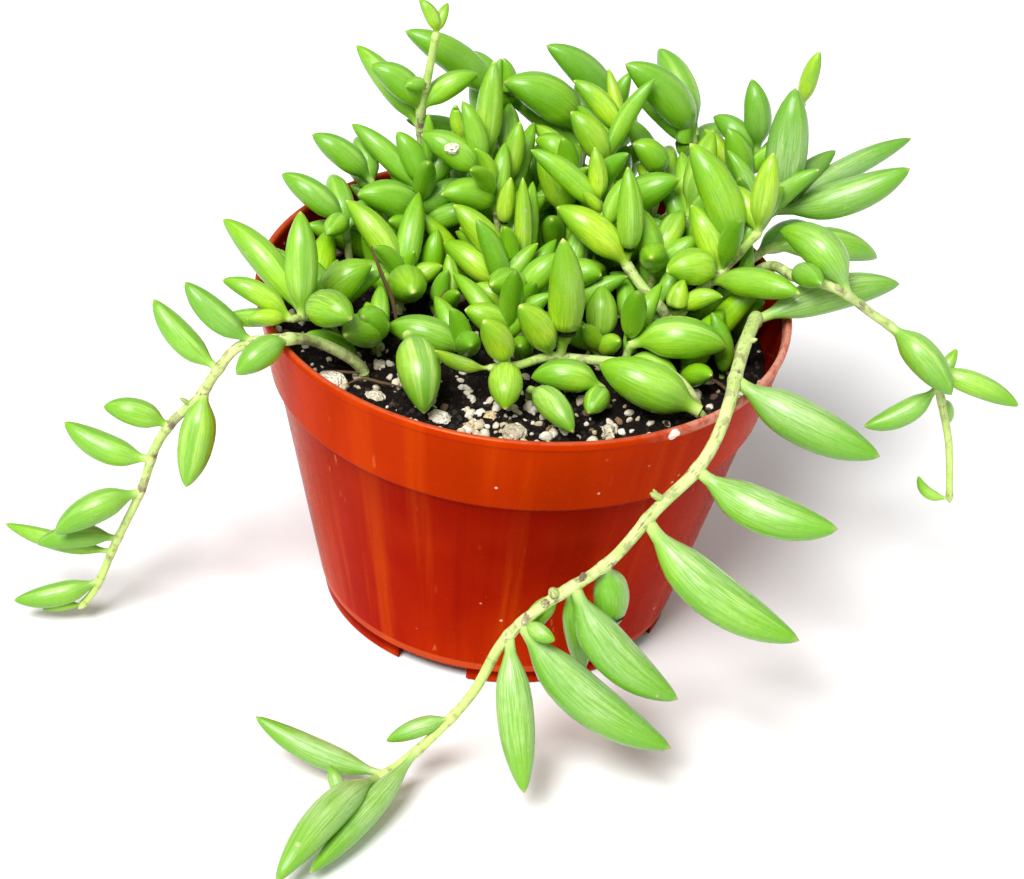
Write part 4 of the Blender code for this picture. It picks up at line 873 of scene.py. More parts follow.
def litter_tree():
    """Scatters rough crumbs over a surface, more of them where its scatter attribute is high."""
    group, tree, given = new_tree("litter", [
        ("Density", "NodeSocketFloat", 1000.0), ("Smallest", "NodeSocketFloat", 0.0004),
        ("Largest", "NodeSocketFloat", 0.001), ("Roughness", "NodeSocketFloat", 0.3),
        ("Fineness", "NodeSocketInt", 1), ("Seed", "NodeSocketInt", 1),
        ("Finish", "NodeSocketMaterial", None)])

    def draw(low, high, step, kind="FLOAT"):
        """A random value for each crumb, with its own step on the seed."""
        first, output = (0, 0) if kind == "FLOAT_VECTOR" else (2, 1)
        return tree.add("FunctionNodeRandomValue", {
            first: low, first + 1: high, "Seed": tree.math("ADD", given["Seed"], step)},
            output, data_type=kind)

    share = tree.add("GeometryNodeInputNamedAttribute", {"Name": "scatter"}, data_type="FLOAT")
    points = tree.add("GeometryNodeDistributePointsOnFaces", {
        "Mesh": given["Geometry"], "Density": tree.times(given["Density"], share),
        "Seed": given["Seed"]}, distribute_method="RANDOM")
    turn = draw((0.0, 0.0, 0.0), FULL_TURN, 0.0, "FLOAT_VECTOR")
    size = tree.add("ShaderNodeMapRange", {
        "Value": tree.math("POWER", draw(0.0, 1.0, 7.0), SMALL_BIAS),
        "To Min": given["Smallest"], "To Max": given["Largest"]})
    size = tree.scaled(draw(FLATTEST, ROUNDEST, 3.0, "FLOAT_VECTOR"), size)
    grain = tree.add("GeometryNodeMeshIcoSphere", {"Radius": 1.0, "Subdivisions": given["Fineness"]})
    crumbs = tree.add("GeometryNodeInstanceOnPoints", {
        "Points": points, "Instance": grain, "Rotation": turn, "Scale": size})
    crumbs = tree.add("GeometryNodeStoreNamedAttribute", {
        "Geometry": crumbs, "Name": "draw", "Value": draw(0.0, 1.0, 11.0)},
        data_type="FLOAT", domain="INSTANCE")
    crumbs = tree.add("GeometryNodeRealizeInstances", {"Geometry": crumbs})
    lumps = tree.add("ShaderNodeTexNoise", {
        "Vector": tree.add("GeometryNodeInputPosition"), "Scale": LUMP_SCALE, "Detail": 2.0}, 1)
    lumps = tree.vector("SUBTRACT", lumps, (0.5, 0.5, 0.5))
    lumps = tree.scaled(lumps, tree.times(given["Largest"], given["Roughness"]))
    crumbs = tree.add("GeometryNodeSetPosition", {"Geometry": crumbs, "Offset": lumps})
    return close_tree(group, tree, crumbs, given["Finish"])


def grow(item, group, values):
    """The object's mesh after the tree, with its inputs set by their identifiers, made plain."""
    modifier = item.modifiers.new(group.name, "NODES")
    modifier.node_group = group
    for socket in group.interface.items_tree:
        if socket.in_out == "INPUT" and socket.name in values:
            modifier[socket.identifier] = values[socket.name]
    bake(item)


def bake(item):
    """Makes what the object's modifiers give its plain mesh, and removes them."""
    bpy.context.view_layer.update()
    shape = bpy.data.meshes.new_from_object(item.evaluated_get(bpy.context.evaluated_depsgraph_get()))
    item.modifiers.clear()
    item.data = shape


# Pieces

def add_object(name, data):
    """An object at the origin, in the scene."""
    item = bpy.data.objects.new(name, data)
    bpy.context.scene.collection.objects.link(item)
    return item


def dress(item, *materials):
    """Gives the object these materials and no others."""
    item.data.materials.clear()
    for material in materials:
        item.data.materials.append(material)


def new_piece(name, mesh, *materials):
    """An object at the origin, with its mesh and materials."""
    item = add_object(name, mesh)
    dress(item, *materials)
    return item


def plain_mesh(name, shape):
    """The finished shape as a mesh."""
    mesh = bpy.data.meshes.new(name)
    shape.to_mesh(mesh)
    shape.free()
    return mesh


def store(mesh, name, values):
    """Keeps a number for each point of the mesh."""
    values = np.asarray(values, np.float32)
    mesh.attributes.new(name, "FLOAT", "POINT").data.foreach_set("value", values)


def declare(item, slot, *replaced):
    """Attaches the piece to the one body and hides the solids that it stands for. The slot, the finish it
    would take, is not used.
    """
    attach(item, "root")
    if replaced:
        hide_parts(*replaced)


def outward(mesh):
    """Merges doubles and turns every face outwards."""
    shape = bmesh.new()
    shape.from_mesh(mesh)
    bmesh.ops.remove_doubles(shape, verts=shape.verts, dist=1e-7)
    bmesh.ops.recalc_face_normals(shape, faces=shape.faces)
    shape.to_mesh(mesh)
    shape.free()


def lines_mesh(name, lines):
    """One mesh of open lines. Each line is (points, {attribute: values along it})."""
    mesh = bpy.data.meshes.new(name)
    edges, first = [], 0
    for points, _ in lines:
        edges += [(first + k, first + k + 1) for k in range(len(points) - 1)]
        first += len(points)
    mesh.from_pydata(np.vstack([place(points) for points, _ in lines]).tolist(), edges, [])
    for label in lines[0][1]:
        values = np.concatenate([np.broadcast_to(held[label], len(points)) for points, held in lines])
        store(mesh, label, values)
    return mesh


def spindles(name, lines, group, sides, skin):
    """A piece of closed round skins along the lines."""
    piece = new_piece(name, lines_mesh(name, lines))
    grow(piece, group, {"Sides": sides, "Skin": skin})
    outward(piece.data)
    return piece


# A leaf's girth as a smooth line of (share of its length, share of its width)
GIRTH_LINE = smooth_route(np.stack([np.array(GIRTH_PLACES) * 100, np.array(GIRTH_SHARES) * 100,
                                    np.zeros(len(GIRTH_PLACES))], 1))[:, :2] / 100
CLOSER_ENDS = 0.06                # how much closer together a leaf's rings lie at both ends
LEAF_POINT = 0.012                # a leaf's radius at its very tip, as a share of its width
KNOT_REACH = 1.3                  # mm; how far along the stem the swelling at a leaf reaches
KNOT_SWELL = 0.18                 # how much thicker the stem is there
STEM_STEP = 0.8                   # mm from ring to ring along a stem
STEM_END = (0.8, 0.3)             # the last two rings' share of the stem's thickness, which rounds its end


def leaf_line(settled, count, **shades):
    """A leaf as a line of points, closer together at both ends, with its girth in metres and its shades."""
    foot, reach, bow, width = settled
    share = np.linspace(0, 1, count)
    share = share - CLOSER_ENDS * np.sin(2 * math.pi * share)
    radius = width / 2 * np.interp(share, GIRTH_LINE[:, 0], GIRTH_LINE[:, 1])
    radius[-1] = LEAF_POINT * width
    return leaf_axis(foot, reach, bow, share), {"girth": radius * MM, "along": share, **shades}


def stem_line(shoot, path, feet):
    """A stem as a line: it follows its path, swells a little at each leaf and has a round end."""
    run = np.concatenate([[0], np.cumsum(np.linalg.norm(np.diff(path, axis=0), axis=1))])
    share = np.linspace(0, 1, max(8, round(run[-1] / STEM_STEP)))
    points = np.stack([np.interp(share * run[-1], run, path[:, k]) for k in range(3)], 1)
    knot = np.zeros(len(share))
    for foot in feet:
        knot = np.maximum(knot, np.exp(-(((share - foot) * run[-1]) / KNOT_REACH) ** 2))
    radius = shoot.thick / 2 * np.interp(share, [0, 1], [1, TIP_TAPER]) * (1 + KNOT_SWELL * knot)
    radius[-2:] *= STEM_END
    return points, {"girth": radius * MM, "along": share, "knot": knot}


# What the old stems carry: how far up the stem, the reach from its skin, and the thickness at the foot
Stub = namedtuple("Stub", "shoot at reach thick")
STUBS = [
    Stub("trailer_front", 0.47, (-3, -1, 2), 1.5),
    Stub("trailer_front", 0.475, (-2, 0, 3), 1.0),
    Stub("trailer_front", 0.635, (-1, -2, 3), 2.2),
    Stub("trailer_front", 0.60, (0, -1, 2.5), 1.4),
    Stub("trailer_front", 0.655, (1, -1, 2.5), 1.6),
    Stub("trailer_front", 0.22, (2, -1, 1.5), 1.2),
    Stub("pale_shoot", 0.55, (1, -2, 1), 1.2),
    Stub("trailer_right", 0.5, (0, -2, 2), 1.0),
    Stub("trailer_left", 0.52, (-2, -1, 2), 1.0),
]

OLD_BARK = {"along": 0.3, "knot": 0.55}   # a stub is coloured like the lower stem, beside a leaf

# Dead stalks and leaf bits on the soil: their points, their thickness and how pale they are (0 to 1)
Dry = namedtuple("Dry", "route thick shade")
DRY_BITS = [
    Dry([(-24, -7, 61), (-26, -7, 70), (-29, -7, 77), (-31, -6, 81.5)], 0.9, 0.05),
    Dry([(-33, -25, 60.9), (-30, -24, 62.0), (-26, -25, 62.2), (-22, -24, 61.0)], 0.6, 0.4),
    Dry([(-38, -21, 61.0), (-34, -22, 61.8), (-30, -21, 61.4)], 0.6, 0.1),
    Dry([(-18, -4, 60.5), (-17, -2, 65), (-16, 1, 69)], 1.4, 0.0),
    Dry([(36, -9, 60.6), (39, -11, 61.8), (42, -14, 61.6), (44, -18, 60.9)], 0.7, 0.3),
    Dry([(41, -6, 60.8), (43, -9, 62.0), (42, -12, 62.6)], 1.0, 0.4),
    Dry([(10, -38, 60.8), (14, -40, 61.8), (19, -39, 61.2)], 1.0, 0.4),
    Dry([(-6, -40, 60.8), (-2, -41, 61.6), (2, -40, 61.0)], 0.9, 0.9),
]


def route_line(route, thick, shade):
    """A thin stalk along a route, pinched at both ends."""
    points = smooth_route(route, 0.7)
    share = np.linspace(0, 1, len(points))
    radius = thick / 2 * np.clip(np.sin(math.pi * np.clip(share, 0.02, 0.98)) ** 0.4, 0.1, 1)
    return points, {"girth": radius * MM, "draw": shade}


def rounded(profile, cut):
    """The profile with each sharp corner turned into a small arc."""
    line = np.array(profile, float)
    out = [line[0]]
    for before, corner, after in zip(line[:-2], line[1:-1], line[2:]):
        back, on = before - corner, after - corner
        reach = min(cut, 0.45 * np.linalg.norm(back), 0.45 * np.linalg.norm(on))
        start = corner + back / np.linalg.norm(back) * reach
        end = corner + on / np.linalg.norm(on) * reach
        out += [(1 - t) ** 2 * start + 2 * t * (1 - t) * corner + t * t * end for t in (0, 0.33, 0.67, 1)]
    return out + [line[-1]]


def turned(name, profile, sides, *materials):
    """A solid of revolution about the pot's axis, as a mesh object at the origin."""
    mesh = bpy.data.meshes.new(name)
    points = [(radius * MM, 0.0, height * MM) for radius, height in profile]
    mesh.from_pydata(points, [(k, k + 1) for k in range(len(points) - 1)], [])
    item = new_piece(name, mesh)
    screw = item.modifiers.new("turn", "SCREW")
    screw.steps = screw.render_steps = sides
    screw.use_merge_vertices = True
    screw.merge_threshold = 1e-6
    bake(item)
    item.data.transform(Matrix.Translation(place((0, 0, 0))[0]))
    outward(item.data)
    dress(item, *materials)
    return item


def wall_slope():
    """How far the body widens for each millimetre of height."""
    return (BODY_TOP_RADIUS - BASE_RADIUS) / (STEP - FLOOR_TOP)


def pot_profile():
    """The pot's section, as radius and height: up the inner side, over the lip and down to the feet."""
    inner_floor = BASE_RADIUS - WALL
    return [
        (0.0, FLOOR_TOP),
        (inner_floor - FLOOR_ROUND, FLOOR_TOP),
        (inner_floor + wall_slope() * FLOOR_ROUND, FLOOR_TOP + FLOOR_ROUND),
        (BODY_TOP_RADIUS - WALL, STEP + STEP_INSIDE[0]),
        (COLLAR_FOOT_RADIUS - WALL, STEP + STEP_INSIDE[1]),
        (LIP_RADIUS - WALL - 0.1, LIP_HEIGHT - 0.5),
        (LIP_RADIUS - WALL + 0.3, LIP_HEIGHT),
        (LIP_RADIUS - LIP_ROUND, LIP_HEIGHT),
        (LIP_RADIUS, LIP_HEIGHT - LIP_ROUND),
        (LIP_RADIUS, LIP_HEIGHT - LIP_BAND + LIP_ROUND),
        (LIP_RADIUS - LIP_ROUND, LIP_HEIGHT - LIP_BAND),
        (COLLAR_FOOT_RADIUS, STEP + 0.6),
        (COLLAR_FOOT_RADIUS - 0.4, STEP),
        (BODY_TOP_RADIUS, STEP - 0.3),
        (BASE_RADIUS, FLOOR_TOP),
        (BASE_RADIUS - 0.5, FLOOR_UNDER),
        (FOOT_OUTER, FOOT_GAP_HEIGHT),
        (FOOT_OUTER, 0.0),
        (FOOT_INNER, 0.0),
        (FOOT_INNER, FLOOR_UNDER),
        (0.0, FLOOR_UNDER)]


def foot_gaps_and_drains():
    """The cutters: a block for the gap between each two feet and a post for each drain hole, as one mesh."""
    shape = bmesh.new()
    middle = (FOOT_OUTER + FOOT_INNER) / 2
    for k in range(FOOT_COUNT):
        turn = math.radians(FIRST_GAP_TURN + k * 360 / FOOT_COUNT)
        block = bmesh.ops.create_cube(shape, size=1.0)["verts"]
        bmesh.ops.scale(shape, vec=(2 * MM * (FOOT_OUTER - FOOT_INNER + 1), FOOT_GAP * MM,
                                    2 * FOOT_GAP_HEIGHT * MM), verts=block)
        bmesh.ops.rotate(shape, cent=(0, 0, 0), matrix=Matrix.Rotation(turn, 3, "Z"), verts=block)
        spot = place((middle * math.cos(turn), middle * math.sin(turn), 0))[0]
        bmesh.ops.translate(shape, vec=spot, verts=block)
        hole = turn + math.pi / FOOT_COUNT
        post = bmesh.ops.create_cone(shape, cap_ends=True, segments=36, radius1=DRAIN_RADIUS * MM,
                                     radius2=DRAIN_RADIUS * MM, depth=8 * MM)["verts"]
        spot = place((DRAIN_RING * math.cos(hole), DRAIN_RING * math.sin(hole), FLOOR_TOP))[0]
        bmesh.ops.translate(shape, vec=spot, verts=post)
    return new_piece("cutters", plain_mesh("cutters", shape))


def fractal(x, y, z, size, octaves):
    """Noise between about -1 and 1, with lumps of this size in millimetres."""
    return noise.fractal(Vector((x / size, y / size, z / size)), 1.0, 2.0, octaves)


SOIL_TOP_RINGS = 64
CLODS, CLOD_SIZE = 0.7, 7.0       # mm; how high and how wide the soil's clods are
GRAINS, GRAIN_SIZE = 0.45, 1.8    # mm; and its grains
DIP_FROM, DIP_WIDTH = 44.0, 6.0   # mm; how far from the axis the soil starts to sink to the wall
DIP = 0.5                         # mm; how far it sinks over that width


def fine_soil_height(x, y):
    """The soil's swells, with clods and grains on them; it dips a little beside the pot's wall."""
    bumps = CLODS * fractal(x, y, 0.0, CLOD_SIZE, 2) + GRAINS * fractal(x, y, 5.0, GRAIN_SIZE, 3)
    return soil_height(x, y) + bumps - DIP * max(0.0, (math.hypot(x, y) - DIP_FROM) / DIP_WIDTH)


def soil_profile():
    """The pot's inner side, kept FIT from it, closed by the soil's top."""
    low, high = STEP + STEP_INSIDE[1], LIP_HEIGHT - 0.5
    share = (SOIL_TOP - low) / (high - low)
    edge = COLLAR_FOOT_RADIUS - WALL + share * (LIP_RADIUS - 0.1 - COLLAR_FOOT_RADIUS) - FIT
    inner_floor = BASE_RADIUS - WALL - FIT
    return [(radius, SOIL_TOP) for radius in np.linspace(0, edge - 0.1, SOIL_TOP_RINGS)] + [
        (COLLAR_FOOT_RADIUS - WALL - FIT, low),
        (BODY_TOP_RADIUS - WALL - FIT, STEP + STEP_INSIDE[0]),
        (inner_floor + wall_slope() * FLOOR_ROUND, FLOOR_TOP + FLOOR_ROUND + FIT),
        (inner_floor - FLOOR_ROUND, FLOOR_TOP + FIT),
        (0.0, FLOOR_TOP + FIT)]


def make_soil(sides):
    """The soil, with clods and grains on its top."""
    soil = turned("potting_soil", soil_profile(), sides,
                  finish("Potting soil", soil_colours, (0.02, 0.014, 0.01), Roughness=0.95,
                         Specular_IOR_Level=0.15))
    for corner in soil.data.vertices:
        x, y, z = from_frame(corner.co)
        if z > SOIL_TOP - 1:
            corner.co.z = fine_soil_height(x, y) * MM
    soil.data.shade_smooth()
    declare(soil, "potting_soil", "soil")
    return soil


def from_frame(spot):
    """A point of the frame in metres, as millimetres from the pot's axis."""
    return np.array(spot) / MM - np.array([*POT_AXIS, 0.0])


# The litter: its name, slot, density's setting, sizes in mm, fineness, seed, colours (light, dark and speck),
# and how far it gathers at the front (0 evenly, 1 only there)
Litter = namedtuple("Litter", "name slot setting smallest largest fineness seed colours gathers")
LITTER = [
    Litter("soil_crumbs", "potting_soil", "crumbs", 0.30, 1.1, 1, 1,
           ((0.030, 0.020, 0.013), (0.004, 0.003, 0.0025), (0.012, 0.008, 0.006)), 0.0),
    Litter("soil_grit", "pumice_white", "grit", 0.5, 1.8, 2, 21,
           ((0.86, 0.80, 0.66), (0.50, 0.40, 0.24), (0.92, 0.90, 0.84)), 0.84),
    Litter("soil_bark", "potting_soil", "bark", 0.5, 1.9, 1, 41,
           ((0.26, 0.15, 0.08), (0.05, 0.03, 0.018), (0.10, 0.06, 0.035)), 0.3)]
GATHER_FROM, GATHER_SOFT = -20.0, 6.0                 # mm; the place where it gathers, and how softly
GATHER_SKEW = 0.25                # how much further forward that place lies with each mm to the right
BARE_EDGE = 4.5                   # mm inside the lip without litter
# Pumice by colour, light and dark
STONE_SHADES = {
    "white": ((0.95, 0.89, 0.76), (0.74, 0.65, 0.48)),
    "grey": ((0.78, 0.71, 0.54), (0.50, 0.43, 0.29)),
    "tan": ((0.80, 0.64, 0.36), (0.54, 0.39, 0.20))}


def make_litter(soil, kind, density, group):
    """Crumbs of one kind, scattered over a copy of the soil's top."""
    base = new_piece(kind.name, soil.data.copy())
    scatter = []
    for corner in base.data.vertices:
        x, y, z = from_frame(corner.co)
        on_top = z > SOIL_TOP - 3 and math.hypot(x, y) < LIP_RADIUS - BARE_EDGE
        ahead = 1 / (1 + math.exp((y - GATHER_FROM + GATHER_SKEW * x) / GATHER_SOFT))
        scatter.append((1 - kind.gathers + kind.gathers * ahead) if on_top else 0.0)
    store(base.data, "scatter", scatter)
    skin = finish(kind.name.replace("_", " "), litter_colours(*kind.colours), kind.colours[0], Roughness=0.9)
    grow(base, group, {"Density": density, "Smallest": kind.smallest * MM, "Largest": kind.largest * MM,
                       "Roughness": 0.55, "Fineness": kind.fineness, "Seed": kind.seed, "Finish": skin})
    base.data.shade_smooth()
    declare(base, kind.slot)


def pumice(colour):
    """The stones' material in this colour, made once."""
    name, (light, dark) = f"Pumice, {colour}", STONE_SHADES[colour]
    return bpy.data.materials.get(name) or finish(name, stone_colours(light, dark), light, Roughness=0.9)


# A stone's depth, its height and the reach of its corners, as shares of its size, drawn from these ranges
STONE_DEPTHS, STONE_HEIGHTS, STONE_CORNERS = (0.74, 0.9), (0.66, 0.8), (0.88, 1.06)
STONE_LUMPS = [(0.22, 1.6, 3), (0.12, 0.5, 2)]        # height and width in mm, and octaves of noise


def make_stone(name, centre, size, number, colour):
    """A stone's rough ball, made fine, with its faces broken by noise."""
    rng = np.random.default_rng(STONE_SEED + number)
    shape = bmesh.new()
    bmesh.ops.create_icosphere(shape, subdivisions=1, radius=1.0)
    stretch = np.array([1.0, rng.uniform(*STONE_DEPTHS), rng.uniform(*STONE_HEIGHTS)])
    turn = rng.uniform(0, math.pi)
    for corner in shape.verts:
        reach = size / 2 * rng.uniform(*STONE_CORNERS)
        x, y, z = np.array(corner.co) * stretch * reach
        corner.co = Vector((x * math.cos(turn) - y * math.sin(turn),
                            x * math.sin(turn) + y * math.cos(turn), z))
    bmesh.ops.subdivide_edges(shape, edges=shape.edges, cuts=1, use_grid_fill=True, smooth=0.75)
    bmesh.ops.subdivide_edges(shape, edges=shape.edges, cuts=5, use_grid_fill=True)
    bmesh.ops.triangulate(shape, faces=shape.faces)
    for _ in range(2):
        bmesh.ops.smooth_vert(shape, verts=shape.verts, factor=0.5)
    centre = Vector(centre)
    for corner in shape.verts:
        x, y, z = corner.co + centre
        push = sum(height * fractal(x, y, z, width, octaves) for height, width, octaves in STONE_LUMPS)
        corner.co = Vector(place(corner.co * (1 + push * 2 / size) + centre)[0])
    bmesh.ops.recalc_face_normals(shape, faces=shape.faces)
    stone = new_piece(name, plain_mesh(name, shape), pumice(colour))
    stone.data.shade_smooth()
    return stone


CHIP_LEAF = ([shoot.name for shoot in SHOOTS].index("curl_shoot"), 1)   # the shoot's number and the leaf's
CHIP_AT = 0.50                    # where along that leaf a chip of perlite lies
CHIP_SIDE = np.array([-0.2, -0.75, 0.6])
CHIP_SIZE = 3.4                   # mm


def make_chip(settled):
    """The chip of perlite on a settled leaf."""
    foot, reach, bow, width = settled
    rest = leaf_axis(foot, reach, bow, [CHIP_AT])[0] + CHIP_SIDE * width / 2
    declare(make_stone("perlite_chip", rest, CHIP_SIZE, len(STONES) + 1, "white"), "pumice_white")


def grown_leaves(paths, sizes, rng):
    """The leaves that find room: a list of (number, leaf) for each shoot, and the young ones.

    A low leaf has no number: it has None. The large leaves take their places first.
    """
    asked_leaves = [(n, k) for n, shoot in enumerate(SHOOTS) for k in range(len(shoot.leaves))]
    asked_leaves.sort(key=lambda item: SHOOTS[item[0]].leaves[item[1]].width < LARGE_LEAF)
    crowd = Crowd(paths)
    grown = [[] for _ in SHOOTS]
    ways = leans()
    for n, k in asked_leaves:
        asked = SHOOTS[n].leaves[k]
        found = crowd.settle(n, along(paths[n], asked.at), asked, ways)
        if found:
            grown[n].append((k, found))
    few_ways = leans(widest=40, step=10, lengths=(1.0, 0.8))
    for n, share, asked in low_leaves(sizes.low, rng):
        foot = along(paths[n], share)
        found = not stays_clear(foot) and crowd.settle(n, foot, asked, few_ways, passes=(True,))
        if found:
            grown[n].append((None, found))
    young = [crowd.settle(len(SHOOTS), foot, asked, few_ways, passes=(True,))
             for foot, asked in young_leaves(sizes.young, rng)]
    return grown, [found for found in young if found]


def leaf_shades(name, k, width, rng):
    """How a shoot's leaf is coloured, with some chance in it; k is its number, or None if it is low."""
    tone = TONES.get(name, USUAL_TONE) + rng.uniform(*TONE_SPREAD)
    if k is None:
        tone = LOW_TONE + rng.uniform(*LOW_SPREAD)
    elif width < SMALL_LEAF:
        tone -= SMALL_TONE
    window = WINDOWED.get((name, k), rng.choice(WINDOWS))
    return {"tone": min(max(tone, 0.0), 1.0), "draw": rng.uniform(), "window": window,
            "wax": WAX.get(name, USUAL_WAX), "blush": BLUSHED.get((name, k), 0.0)}


# Sizes and colours that a user would change

class PotSettings(bpy.types.PropertyGroup):
    sides: IntProperty(name="Sides", description="Sides of the pot's turned wall", default=144, min=24)
    edge: FloatProperty(name="Edge", description="Size of the rounding on the pot's edges, in millimetres",
                        default=0.35, min=0.05)
    colour: FloatVectorProperty(name="Colour", description="The plastic's colour in the viewport",
                                default=(0.42, 0.026, 0.004), subtype="COLOR", size=3)


class SoilSettings(bpy.types.PropertyGroup):
    sides: IntProperty(name="Sides", description="Sides of the soil's turned body", default=150, min=24)
    crumbs: FloatProperty(name="Crumbs", description="Dark crumbs on a square metre", default=260000.0,
                          min=0.0)
    grit: FloatProperty(name="Grit", description="Pale grit on a square metre", default=150000.0, min=0.0)
    bark: FloatProperty(name="Bark", description="Bark chips on a square metre", default=16000.0, min=0.0)


class PlantSettings(bpy.types.PropertyGroup):
    leaf_sides: IntProperty(name="Leaf sides", description="Sides of a leaf's round skin", default=16, min=6)
    leaf_rings: IntProperty(name="Leaf rings", description="Rings along a leaf", default=19, min=6)
    stem_sides: IntProperty(name="Stem sides", description="Sides of a stem", default=12, min=6)
    low: IntProperty(name="Low leaves", description="Small leaves tried low on each crowded stem", default=8,
                     min=0)
    young: IntProperty(name="Young leaves", description="Tufts of three young leaves tried in the soil",
                       default=80, min=0)
    seed: IntProperty(name="Seed", description="Draws low leaves, young ones and all shades", default=5)


class StudioSettings(bpy.types.PropertyGroup):
    backdrop: FloatVectorProperty(name="Backdrop", description="Colour of the floor",
                                  default=(0.90, 0.90, 0.90), subtype="COLOR", size=3)
    key: FloatProperty(name="Key light", description="The window's light, in watts on a square metre",
                       default=4.3, min=0.0)
    spread: FloatProperty(name="Spread", description="How wide the window's light is",
                          default=math.radians(26), subtype="ANGLE", min=0.0)
    sky: FloatProperty(name="Sky", description="Strength of the light from all round", default=0.46, min=0.0)


SHARP_FROM = 32.0                 # degrees; the pot's wall keeps an edge where it bends by more


# One operator for each group of pieces

class HOOKS_OT_pot(bpy.types.Operator):
    """Make the pot, with rounded edges, feet and drain holes"""
    bl_idname = "hooks.pot"
    bl_label = "Pot"

    def execute(self, context):
        sizes = context.scene.hooks_pot
        pot = turned("nursery_pot", rounded(pot_profile(), sizes.edge), sizes.sides)
        cutters = foot_gaps_and_drains()
        cut = pot.modifiers.new("cut", "BOOLEAN")
        cut.operation = "DIFFERENCE"
        cut.object = cutters
        cut.solver = "EXACT"
        bake(pot)
        bpy.data.objects.remove(cutters, do_unlink=True)
        pot.data.shade_smooth()
        pot.data.set_sharp_from_angle(angle=math.radians(SHARP_FROM))
        dress(pot, finish("Terracotta plastic", pot_colours, sizes.colour, Specular_IOR_Level=0.01,
                          Metallic=0.18, Specular_Tint=(1.0, 0.22, 0.02, 1.0)))
        declare(pot, "terracotta_plastic", "pot")
        return {"FINISHED"}


class HOOKS_OT_soil(bpy.types.Operator):
    """Make the soil, its crumbs, grit and bark, and the pumice stones"""
    bl_idname = "hooks.soil"
    bl_label = "Soil and stones"

    def execute(self, context):
        sizes = context.scene.hooks_soil
        soil = make_soil(sizes.sides)
        group = litter_tree()
        for kind in LITTER:
            make_litter(soil, kind, getattr(sizes, kind.setting), group)
        for number, stone in enumerate(STONES, 1):
            piece = make_stone(f"pumice_{number}_rough", stone_ball(stone)[0], stone.size, number,
                               stone.colour)
            declare(piece, f"pumice_{stone.colour}", f"pumice_{number}")
        return {"FINISHED"}


class HOOKS_OT_plant(bpy.types.Operator):
    """Make every leafy stem, the low and young leaves that fill the crowd, and the dead bits"""
    bl_idname = "hooks.plant"
    bl_label = "Plant"

    def execute(self, context):
        sizes = context.scene.hooks_plant
        rng = np.random.default_rng(sizes.seed)
        paths = [stem_path(shoot) for shoot in SHOOTS]
        grown, young = grown_leaves(paths, sizes, rng)
        group = spindle_tree()
        leaf_skin = finish("Leaf", leaf_colours, (0.17, 0.36, 0.05), Subsurface_Weight=0.10,
                           Subsurface_Radius=(0.5, 1.0, 0.12), Subsurface_Scale=0.0018, Coat_Weight=0.30,
                           Coat_Roughness=0.20, Specular_IOR_Level=0.35)
        bark = finish("Stem", stem_colours, (0.5, 0.55, 0.3), Roughness=0.5)
        for shoot, path, found in zip(SHOOTS, paths, grown):
            name = shoot.name
            lines = [leaf_line(settled, sizes.leaf_rings, **leaf_shades(name, k, settled[3], rng))
                     for k, settled in sorted(found, key=lambda item: item[0] is None)]
            leaves = spindles(f"{name}_leaves", lines, group, sizes.leaf_sides, leaf_skin)
            feet = [shoot.leaves[k].at for k, _ in found if k is not None]
            stem = spindles(f"{name}_stem", [stem_line(shoot, path, feet)], group, sizes.stem_sides, bark)
            for piece in (stem, leaves):
                declare(piece, "leaf_green", name)
        lines = [leaf_line(settled, sizes.leaf_rings, tone=LOW_TONE + rng.uniform(*YOUNG_SPREAD),
                           draw=rng.uniform(), window=0.0, wax=0.0, blush=0.0) for settled in young]
        declare(spindles("young_leaves", lines, group, sizes.leaf_sides, leaf_skin), "leaf_green")
        make_chip(dict(grown[CHIP_LEAF[0]])[CHIP_LEAF[1]])
        self.dead_bits(paths, group, bark)
        return {"FINISHED"}

    def dead_bits(self, paths, group, bark):
        """Stubs of lost leaves on the old stems, and dry bits on the soil."""
        path_of = {shoot.name: path for shoot, path in zip(SHOOTS, paths)}
        stubs = []
        for stub in STUBS:
            foot = along(path_of[stub.shoot], stub.at)
            route = [foot + np.array(stub.reach) * share for share in (0, 0.5, 1)]
            points, held = route_line(route, stub.thick, 0.0)
            stubs.append((points, {"girth": held["girth"], **OLD_BARK}))
        declare(spindles("leaf_stubs", stubs, group, 10, bark), "leaf_green")
        dry = finish("Dry bits", dry_colours, (0.25, 0.15, 0.07), Roughness=0.8)
        lines = [route_line(bit.route, bit.thick, bit.shade) for bit in DRY_BITS]
        declare(spindles("dry_bits", lines, group, 7, dry), "potting_soil")


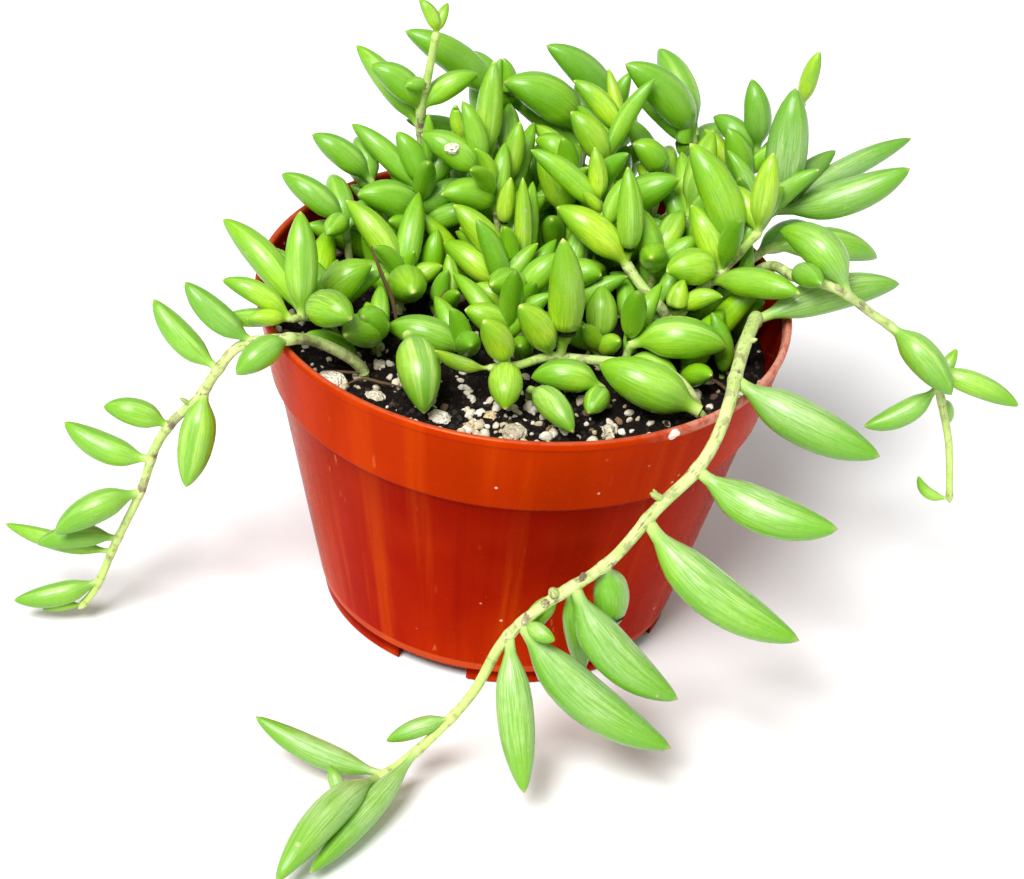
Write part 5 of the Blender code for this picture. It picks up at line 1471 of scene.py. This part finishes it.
class HOOKS_OT_studio(bpy.types.Operator):
    """Set the floor, the lights and the camera"""
    bl_idname = "hooks.studio"
    bl_label = "Studio"

    def execute(self, context):
        sizes = context.scene.hooks_studio
        bpy.ops.mesh.primitive_plane_add(size=6.0)
        floor = context.object
        floor.name = "floor"
        floor.location = (0.0, 0.0, -FLOOR_GAP * MM)
        floor.data.materials.append(finish("Backdrop", lambda tree: {}, sizes.backdrop, Roughness=1.0,
                                           Base_Color=(*sizes.backdrop, 1.0)))
        world = bpy.data.worlds.new("Surroundings")
        context.scene.world = world
        world.use_nodes = True
        sky = world.node_tree.nodes["Background"]
        sky.inputs["Color"].default_value = (1.0, 1.0, 1.0, 1.0)
        sky.inputs["Strength"].default_value = sizes.sky
        window = bpy.data.lights.new("window", "SUN")
        window.energy = sizes.key
        window.angle = sizes.spread
        lamp = add_object("window", window)
        lamp.rotation_euler = (-Vector(WINDOW_SIDE)).to_track_quat("-Z", "Y").to_euler()
        camera = add_object("camera", bpy.data.cameras.new("camera"))
        camera.data.sensor_width = CAMERA_SENSOR
        camera.data.lens = CAMERA_LENS
        camera.data.clip_start = 0.01
        camera.matrix_world = camera_pose()
        context.scene.camera = camera
        context.scene.view_settings.view_transform = "Standard"
        return {"FINISHED"}


def camera_pose():
    """Where the camera stands and how it is turned, from its pitch and its roll."""
    pitch, roll = math.radians(CAMERA_PITCH), math.radians(CAMERA_ROLL)
    aim = Vector((0.0, math.cos(pitch), -math.sin(pitch)))
    up = Vector((0.0, math.sin(pitch), math.cos(pitch)))
    right = Vector((1.0, 0.0, 0.0))
    across = math.cos(roll) * right + math.sin(roll) * up
    upward = math.cos(roll) * up - math.sin(roll) * right
    pose = Matrix((across, upward, -aim)).transposed().to_4x4()
    pose.translation = Vector(place(CAMERA_SPOT)[0])
    return pose


class HOOKS_PT_panel(bpy.types.Panel):
    """Lists the pieces"""
    bl_idname = "HOOKS_PT_panel"
    bl_label = "Potted string of fish hooks"
    bl_space_type = "VIEW_3D"
    bl_region_type = "UI"
    bl_category = "Fish hooks"

    def draw(self, context):
        for group, (_, operator) in STEPS.items():
            box = self.layout.box()
            box.operator(operator.bl_idname)
            settings = getattr(context.scene, group)
            for name in settings.__annotations__:
                box.prop(settings, name)


# Each group of settings, under its name in the scene, with the operator that reads it
STEPS = {"hooks_pot": (PotSettings, HOOKS_OT_pot), "hooks_soil": (SoilSettings, HOOKS_OT_soil),
         "hooks_plant": (PlantSettings, HOOKS_OT_plant), "hooks_studio": (StudioSettings, HOOKS_OT_studio)}
CLASSES = [kind for pair in STEPS.values() for kind in pair] + [HOOKS_PT_panel]


def register():
    for kind in CLASSES:
        bpy.utils.register_class(kind)
    for name, (settings, _) in STEPS.items():
        setattr(bpy.types.Scene, name, PointerProperty(type=settings))


def unregister():
    for name in STEPS:
        delattr(bpy.types.Scene, name)
    for kind in reversed(CLASSES):
        bpy.utils.unregister_class(kind)


def main():
    register()
    bpy.ops.hooks.pot()
    bpy.ops.hooks.soil()
    bpy.ops.hooks.plant()
    bpy.ops.hooks.studio()


if __name__ == "__main__":
    main()
